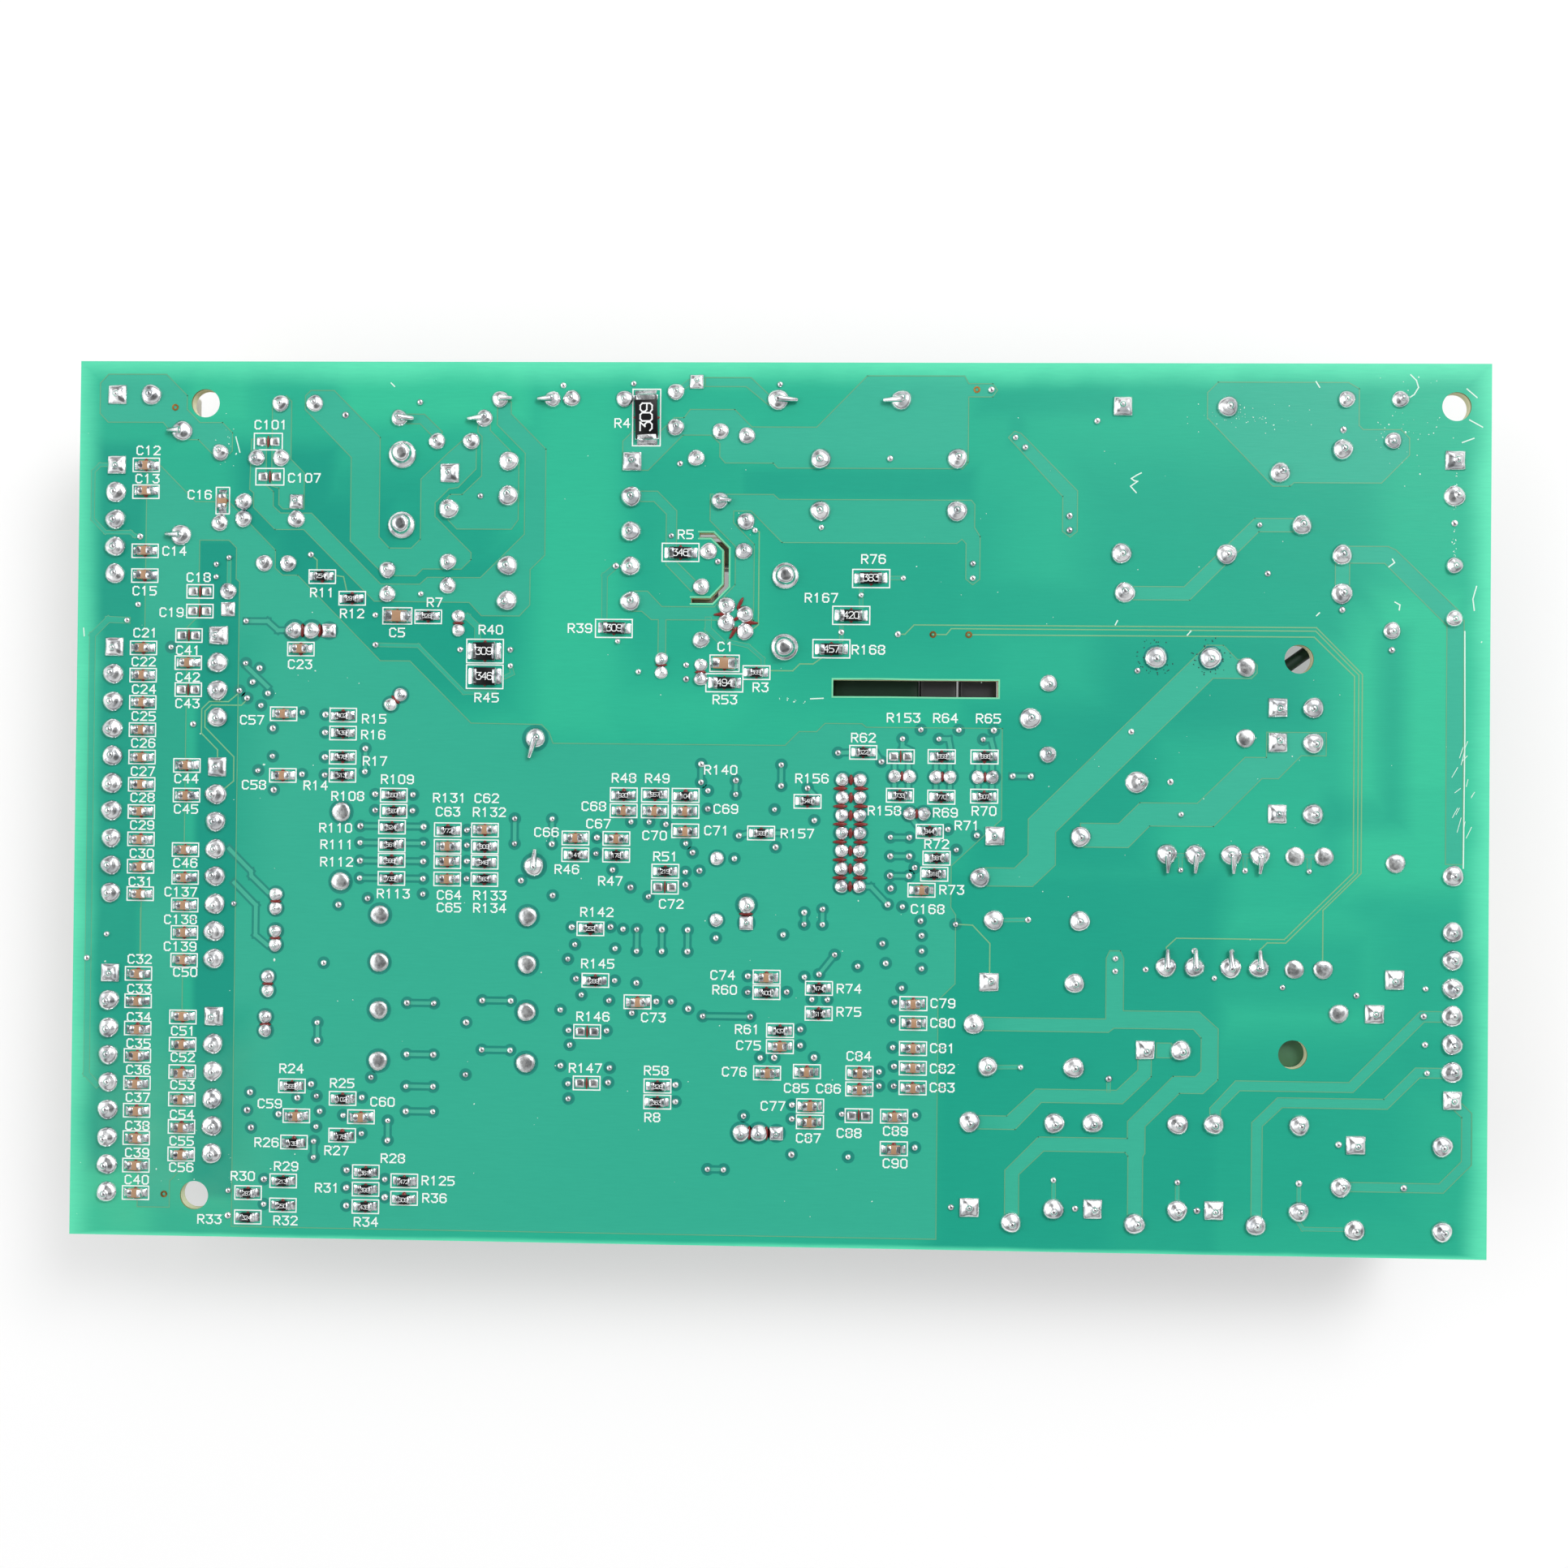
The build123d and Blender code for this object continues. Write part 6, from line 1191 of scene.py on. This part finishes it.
def buildCans():
    # sleeved can: crimp groove near its mouth, rounded rim at the far end
    radii = [0.76, 0.80, 0.93, 0.985, 1.0, 1.0, 0.955, 0.955, 1.0, 1.0, 0.97]
    heights = [0.03, 0.0, 0.006, 0.022, 0.05, 0.86, 0.885, 0.905, 0.93, 0.985, 1.0]
    # mm, then shares of the height, half the angle it covers, and shares of the radius
    look = {"rimAbove": 0.15, "discLow": 0.1, "discHigh": 0.6, "stripe": (0.08, 0.84), "stripeReach": 0.32,
            "proud": 1.006, "stripeInside": 0.97}
    bigLow, bigHigh = solidBoxes("reservoir_capacitors")
    low, high = solidBoxes("small_capacitors")
    topLow, topHigh = solidBoxes("reservoir_capacitor_tops")
    topHigh[:, 2] += look["rimAbove"] * mm
    discLow, discHigh = low.copy(), high.copy()
    discLow[:, 2] += look["discLow"] * mm
    discHigh[:, 2] = low[:, 2] + look["discHigh"] * mm
    big, small = turned(radii, heights, 40), turned(radii, heights, 24)
    top = turned([0.80, 0.96, 1.0, 1.0], [0.0, 0.12, 0.3, 1.0], 40)
    disc = turned([0.3, 0.73, 0.775, 0.775], [0.0, 0.0, 0.3, 1.0], 24)
    makePiece("reservoir_sleeves", fitted(big, bigLow, bigHigh), "sleeve",
              ["reservoir_capacitors"])
    makePiece("reservoir_can_tops", fitted(top, topLow, topHigh), "canTop",
              ["reservoir_capacitor_tops"])
    makePiece("small_can_sleeves", fitted(small, low, high), "sleeve",
              ["small_capacitors"])
    makePiece("small_can_tops", fitted(disc, discLow, discHigh), "canTop", sharpAngle=40)
    # pale stripe down one side of each sleeve
    stripes = []
    for a, b in zip(np.concatenate([low, bigLow]), np.concatenate([high, bigHigh])):
        size = b - a
        angle = np.linspace(-look["stripeReach"], look["stripeReach"], 6) + rng.choice(4) * np.pi / 2
        outer = np.stack([np.cos(angle), np.sin(angle)], 1) * (size[0] / 2) * look["proud"]
        ring = np.concatenate([outer, outer[::-1] * look["stripeInside"]]) + (a + b)[:2] / 2
        levels = [np.full(len(ring), a[2] + share * size[2]) for share in look["stripe"]]
        stripes.append(stackRings(np.stack([np.column_stack([ring, level]) for level in levels])))
    makePiece("can_stripes", merge(stripes), "sleeveMark", sharpAngle=40)


def buildAxialParts():
    look = {"leadInside": 0.3, "bandWidth": 0.075}  # mm, and a share of the body's length
    barrel = turned([0.45, 0.86, 0.99, 1.0, 0.90, 0.88, 0.90, 1.0, 0.99, 0.86, 0.45],
                    [-0.5, -0.49, -0.45, -0.40, -0.31, 0.0, 0.31, 0.40, 0.45, 0.49, 0.5], 18)
    plain = turned([0.72, 0.96, 1.0, 1.0, 0.96, 0.72], [-0.5, -0.48, -0.44, 0.44, 0.48, 0.5], 18)
    band = alongX(turned([0.88, 0.915, 0.915, 0.88], [-0.5, -0.4, 0.4, 0.5], 18))
    kinds = {  # node: shape, finish, slot, size of its bands, their finishes and places along the body
        "axial_resistors": (barrel, "lacquer", "resistor_coating", 1.0,
                            {"bandBrown": -0.22, "bandDark": -0.09, "bandRed": 0.04, "bandGold": 0.24}),
        "axial_diodes": (plain, "blackMoulding", "black_moulding", 1.12, {"bandSilver": 0.34}),
    }
    wires, rings = [], {}
    for node, (shape, finish, slotName, scale, marks) in kinds.items():
        low, high = solidBoxes(node)
        centres, size = (low + high) / 2, high - low
        lengthwise = size[:, 0] > size[:, 1]
        length, radius = np.where(lengthwise, size[:, 0], size[:, 1]), size[:, 2] / 2
        turns = np.where(lengthwise, 0, np.pi / 2)
        sizes = np.column_stack([length, radius, radius])
        bodies = repeatShape(alongX(shape), centres, turns, sizes)
        makePiece(node + "_bodies", bodies, finish, [node], sharpAngle=60)
        for centre, turn, span, r in zip(centres, turns, length, radius):
            axis = np.array([math.cos(turn), math.sin(turn), 0])
            for sign, joint in zip((-1, 1), leadPair(centre, axis[:2])):
                wires.append(bentLead(centre + axis * sign * (span / 2 - look["leadInside"] * mm), joint))
            for kind, at in marks.items():
                size = (look["bandWidth"] * span, r * scale, r * scale)
                ring = repeatShape(band, [centre + axis * at * span], turn, size)
                rings.setdefault(kind, []).append(ring)
    makePiece("bent_leads", merge(wires), "tinned")
    for kind, shapes in rings.items():
        makePiece("bands_" + kind[4:].lower(), merge(shapes), kind)


def buildBoxParts():
    look = {"bentSlot": 92.5, "near": 5, "shadeGapFill": 0.25}  # mm
    kinds = {  # node: finish, slot, corner and lip in mm; the film capacitors under the bent slot are grey
        "film_capacitors": ("filmCase", "film_capacitor_case", 0.9, 0.6),
        "optocoupler": ("whiteMoulding", "white_moulding", 0.4, 0.3),
        "optocouplers_under_slot": ("blackMoulding", "black_moulding", 0.4, 0.3),
        "green_block_under_slot": ("greenCoat", "green_coating", 0.9, 0.6),
        "microcontroller": ("blackMoulding", "black_moulding", 0.3, 0.2),
        "pin_header": ("blackMoulding", "black_moulding", 0.3, 0.2),
        "power_packages": ("blackMoulding", "black_moulding", 0.4, 0.3),
        "choke_base": ("blackMoulding", "black_moulding", 0.8, 0.4),
    }
    for node, (finish, slotName, corner, lip) in kinds.items():
        low, high = solidBoxes(node)
        if node == "film_capacitors":
            grey = np.abs(toPlaces((low + high) / 2)[:, 0] - look["bentSlot"]) < look["near"]
            cases = [boxBlock(a, b, corner, lip) for a, b in zip(low[grey], high[grey])]
            makePiece("film_capacitors_grey", merge(cases), "greyCase")
            low, high = low[~grey], high[~grey]
        if node == "optocouplers_under_slot":  # painted shade: lengthened so their black bodies almost meet and dark moulding fills the shade between them
            low, high = low - [look["shadeGapFill"] * mm, 0, 0], high + [look["shadeGapFill"] * mm, 0, 0]
        shape = merge([boxBlock(a, b, corner, lip, 3) for a, b in zip(low, high)])
        makePiece(node + "_softened", shape, finish, [node])


def buildDiscs():
    look = {"thick": 3.4, "leads": (3.15, -7.45)}  # mm; from one lead of the leaning varistor to the other
    profile = alongX(turned([0.2, 0.75, 0.95, 1.0, 0.95, 0.75, 0.2],
                            [-0.5, -0.42, -0.26, 0.0, 0.26, 0.42, 0.5], 36))
    low, high = solidBoxes("disc_capacitors")
    size = high - low
    turns = np.where(size[:, 0] > size[:, 1], np.pi / 2, 0)
    thick, radius = np.minimum(size[:, 0], size[:, 1]), size[:, 2] / 2
    shapes = [repeatShape(profile, (low + high) / 2, turns, np.column_stack([thick, radius, radius]))]
    low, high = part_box("varistor")
    heading = math.atan2(look["leads"][1], look["leads"][0])
    r = (high - low).z / 2
    shapes.append(repeatShape(profile, [(low + high) / 2], heading + np.pi / 2, (look["thick"] * mm, r, r)))
    makePiece("coated_discs", merge(shapes), "blueCoat", ["disc_capacitors", "varistor"],
              sharpAngle=60)
    flat = turned([0.3, 0.8, 0.97, 1.0, 0.97, 0.8, 0.3], [0.0, 0.06, 0.22, 0.5, 0.78, 0.94, 1.0], 36)
    makePiece("laid_disc", fitted(flat, *boxOf("laid_varistor")), "paleGreenCoat",
              ["laid_varistor"], sharpAngle=60)


def buildWires():
    look = {"sag": 0.15, "sides": 14, "thinner": 0.97}  # mm, and a share of the radius
    shapes = []
    for points in cornerPoints("sleeved_wires").reshape(2, -1, 3):
        low, high = points.min(0), points.max(0)
        centre = (low + high) / 2
        axis = np.linalg.svd(points - centre)[2][0]
        reach = np.abs((points - centre) @ axis).max()
        t = np.linspace(-1, 1, 24)[:, None]
        sag = np.array([0, 0, look["sag"] * mm]) * (1 - t ** 2)
        radius = (high - low)[2] / 2 * look["thinner"]
        shapes.append(tubeAlong(centre + axis * reach * t + sag, radius, look["sides"]))
    makePiece("sleeved_wires_round", merge(shapes), "greenCoat", ["sleeved_wires"],
              sharpAngle=60)


def buildFuse():
    tubeLow, tubeHigh = solidBoxes("fuse_tube")
    centre = ((tubeLow + tubeHigh) / 2)[0]
    length, radius = (tubeHigh - tubeLow)[0, 1], (tubeHigh - tubeLow)[0, 2] / 2
    tube = turned([0.86, 1.0, 1.0, 0.86], [-0.5, -0.5, 0.5, 0.5], 28)
    glass = repeatShape(alongX(tube), [centre], np.pi / 2, (length, radius, radius))
    makePiece("fuse_glass_tube", glass, "glass", ["fuse_tube"])
    low, high = solidBoxes("fuse_caps")
    cap = turned([0.55, 0.93, 1.0, 1.0, 0.93, 0.55], [-0.5, -0.49, -0.42, 0.42, 0.49, 0.5], 28)
    size = high - low
    shapes = [repeatShape(alongX(cap), (low + high) / 2, np.pi / 2, size[:, [1, 2, 2]] / [1, 2, 2])]
    reach = length / 2 + size[0, 1] - 0.4 * mm
    for sign, joint in zip((-1, 1), leadPair(centre, np.array([0.0, 1.0]))):
        shapes.append(bentLead(centre + np.array([0, sign, 0]) * reach, joint))
    makePiece("fuse_end_caps", merge(shapes), "tinned", ["fuse_caps"])


def coilLoops(centre, size, count, wire):
    # turns of wire side by side along y: each a rounded rectangle round the limb
    t = np.linspace(0, 2 * np.pi, 24, endpoint=False)
    loop = np.stack([np.cos(t), np.sin(t)], 1)
    loop = np.sign(loop) * np.abs(loop) ** 0.35
    outward = loop / np.linalg.norm(loop, axis=1, keepdims=True)
    angle = np.arange(6) * 2 * np.pi / 6
    grid = np.zeros((len(t), len(angle), 3))
    for axis, column in ((0, 0), (2, 1)):
        wide = (size[axis] / 2 - wire) * loop[:, column]
        grid[..., axis] = wide[:, None] + outward[:, [column]] * wire * np.cos(angle)
    grid[..., 1] = wire * np.sin(angle)
    index = np.arange(len(t) * len(angle)).reshape(len(t), len(angle))
    nextRing = np.roll(index, -1, 0)
    faces = np.stack([index, nextRing, np.roll(nextRing, -1, 1), np.roll(index, -1, 1)], -1).reshape(-1, 4)
    shift = np.linspace(-0.5, 0.5, count) * (size[1] - 2 * wire)
    places = centre + np.column_stack([np.zeros(count), shift, np.zeros(count)])
    return repeatShape((grid.reshape(-1, 3), [faces]), places)


def buildWoundParts():
    look = {"tape": 0.06, "limb": 7.2, "turns": 18, "wire": 0.42}  # mm
    low, high = boxOf("transformer_winding")
    shapes = [boxBlock(low, high, 0.6, 0.5, 3)]
    for number, share in enumerate((0.94, 0.72, 0.50)):  # the last turns of tape end part way along one face
        inset = np.array([(high - low)[0] * (1 - share) / 2, 0, 0])
        grow = np.array([0, look["tape"] * mm, 0]) * (3 - number)
        shapes.append(boxBlock(low + inset - grow + [0, 0, 0.02 * mm], high - inset + grow, 0.3, 0.05, 1))
    makePiece("transformer_tape", merge(shapes), "tape", ["transformer_winding"])
    low, high = boxOf("choke_winding")
    centre, size = (low + high) / 2, high - low
    width, limbs = look["limb"] * mm, []
    for sign in (-1, 1):
        middle = centre + [sign * (size[0] - width) / 2, 0, 0]
        limbs.append(coilLoops(middle, (width, size[1], size[2]), look["turns"], look["wire"] * mm))
    makePiece("choke_turns", merge(limbs), "enamel", ["choke_winding"], sharpAngle=60)


def buildSmallSolids():
    look = {"land": (0.95, 0.95, -0.05), "screw": (1.3, 2.7, 2.7), "screwPlace": 3.0}  # mm
    lens = turned([0.12, 0.5, 0.78, 0.94, 0.96, 0.96, 1.0, 1.0],
                  [0.0, 0.03, 0.12, 0.26, 0.40, 0.88, 0.89, 1.0], 24)
    makePiece("led_dome", fitted(lens, *boxOf("led")), "lens", ["led"])
    makePiece("ignition_case", boxBlock(*boxOf("ignition_module"), 1.6, 0.9, 4), "potting",
              ["ignition_module"])
    plain = {"heat_sinks": "sheet", "power_package_tabs": "tinned", "power_package_leads": "tinned",
             "transformer_core": "ferrite", "transformer_bobbin": "blackMoulding", "choke_core": "ferrite",
             "transistors": "blackMoulding"}  # shapes of the solids kept as they are
    for node, finish in plain.items():
        paintNode(node, finish)
    # tinned rings where the leads enter the component side
    ring = turned([1.0, 1.0, 0.9], [-1.0, 0.6, 1.0], 16)
    lands = repeatShape(ring, allJoints * [1, 1, 0] + [0, 0, underside], 0, np.array(look["land"]) * mm)
    makePiece("component_side_lands", lands, "tinned")
    # screws that hold the cooled packages to their sheets; the first stands on the other side
    head = alongX(turned([0.9, 1.0, 0.95, 0.6, 0.2], [0.0, 0.3, 0.7, 0.95, 1.0], 20))
    shapes = []
    for number, (a, b) in enumerate(zip(*solidBoxes("power_package_tabs"))):
        side, face = (-1, a[0]) if number else (1, b[0])
        place = (face, (a + b)[1] / 2, a[2] + look["screwPlace"] * mm)
        shapes.append(repeatShape(head, [place], 0, np.array(look["screw"]) * [side, 1, 1] * mm))
    makePiece("package_screws", merge(shapes), "tinned")


for build in (buildController, buildUnderLegend, buildRelays, buildConnectors, buildCans, buildAxialParts,
              buildBoxParts, buildDiscs, buildWires, buildFuse, buildWoundParts, buildSmallSolids):
    build()
print("component side made")

# floor, light and camera
stageLook = {"floor": 0.62, "shown": 0.34, "size": 3.0}
lamps = {  # place in metres, size, power in watts
    "keyLamp": ((0.52, 0.54, 0.78), 0.40, 5.6),
    "fillLamp": ((-0.80, 0.10, 0.50), 0.7, 1.6),
}
# the studio: brightness from the horizon up to straight above, by height from 0 to 1; the share of it
# seen all round and what two soft panels add, right and left; an even pale band near the horizon
studioLook = {
    "heights": [(0.0, 0.8), (0.18, 0.8), (0.28, 0.45), (0.42, 0.5), (0.52, 1.5), (0.74, 1.5), (0.86, 0.36),
                (1.0, 0.26)],
    "around": 0.48, "rightPanel": 0.69, "leftPanel": 0.56, "band": 0.96, "bandTop": (0.14, 0.30),
}


def buildStage():
    graph = Graph("paleFloor")
    seen = graph.add("ShaderNodeLightPath")
    shown = seen[0].most(seen[3]).most(seen[6])  # to the camera, in glossy and in transmitted light
    pale = (stageLook["floor"],) * 3 + (1.0,)
    base = graph.add("ShaderNodeBsdfDiffuse", inputs={"Color": pale})[0]
    glow = graph.add("ShaderNodeEmission", inputs={"Strength": shown * stageLook["shown"]})[0]
    both = graph.add("ShaderNodeAddShader", inputs={0: base, 1: glow})[0]
    graph.add("ShaderNodeOutputMaterial", inputs={0: both})
    mesh = bpy.data.meshes.new("floor")
    s = stageLook["size"]
    mesh.from_pydata([(-s, -s, 0), (s, -s, 0), (s, s, 0), (-s, s, 0)], [], [(0, 1, 2, 3)])
    mesh.materials.append(graph.material)
    floor = bpy.data.objects.new("floor", mesh)
    bpy.context.scene.collection.objects.link(floor)


def buildLight():
    aim = Vector((0, 0, 0.01))
    for name, (place, size, power) in lamps.items():
        data = bpy.data.lights.new(name, "AREA")
        data.size, data.energy, data.shape = size, power, "SQUARE"
        lamp = bpy.data.objects.new(name, data)
        lamp.location = place
        lamp.rotation_euler = (aim - Vector(place)).to_track_quat("-Z", "Y").to_euler()
        bpy.context.scene.collection.objects.link(lamp)
    world = bpy.data.worlds.new("studio")
    bpy.context.scene.world = world
    graph, look = Graph("studio", world), studioLook
    x, y, z = graph.axes(graph.objectPlace())
    level = x.abs() + y.abs() + 0.001
    right, left = ((x + y) / level).step(0.70, 0.92), (x / level * -1.0).step(0.42, 0.60)
    height = graph.ramp(z, [(h, (v, v, v, 1.0)) for h, v in look["heights"]])
    panels = graph.axes(height)[0] * (look["around"] + right * look["rightPanel"] + left * look["leftPanel"])
    above = z.step(*look["bandTop"])
    level = above * panels + (1.0 - above) * look["band"]
    sky = graph.add("ShaderNodeBackground", inputs={"Color": (1, 1, 1, 1), "Strength": level})[0]
    graph.add("ShaderNodeOutputWorld", inputs={0: sky})


buildStage()
buildLight()

# the turn is an axis times its angle, from the frame to the camera; lens and sensor in mm
cameraLook = {"place": (0.0073, 0.0012, 0.2298), "turn": (-0.45, -1.57, -0.57), "lens": 33.54,
              "sensor": 36.0, "nearest": 0.01}
camera = bpy.data.objects.new("camera", bpy.data.cameras.new("camera"))
camera.data.lens, camera.data.sensor_width = cameraLook["lens"], cameraLook["sensor"]
camera.data.clip_start = cameraLook["nearest"]
axis = Vector([math.radians(a) for a in cameraLook["turn"]])
turn = Matrix.Rotation(-axis.length, 4, axis.normalized())
camera.matrix_world = Matrix.Translation(cameraLook["place"]) @ turn
bpy.context.scene.collection.objects.link(camera)
bpy.context.scene.camera = camera
bpy.context.scene.view_settings.view_transform = "Standard"
print("stage, lamps and camera set")
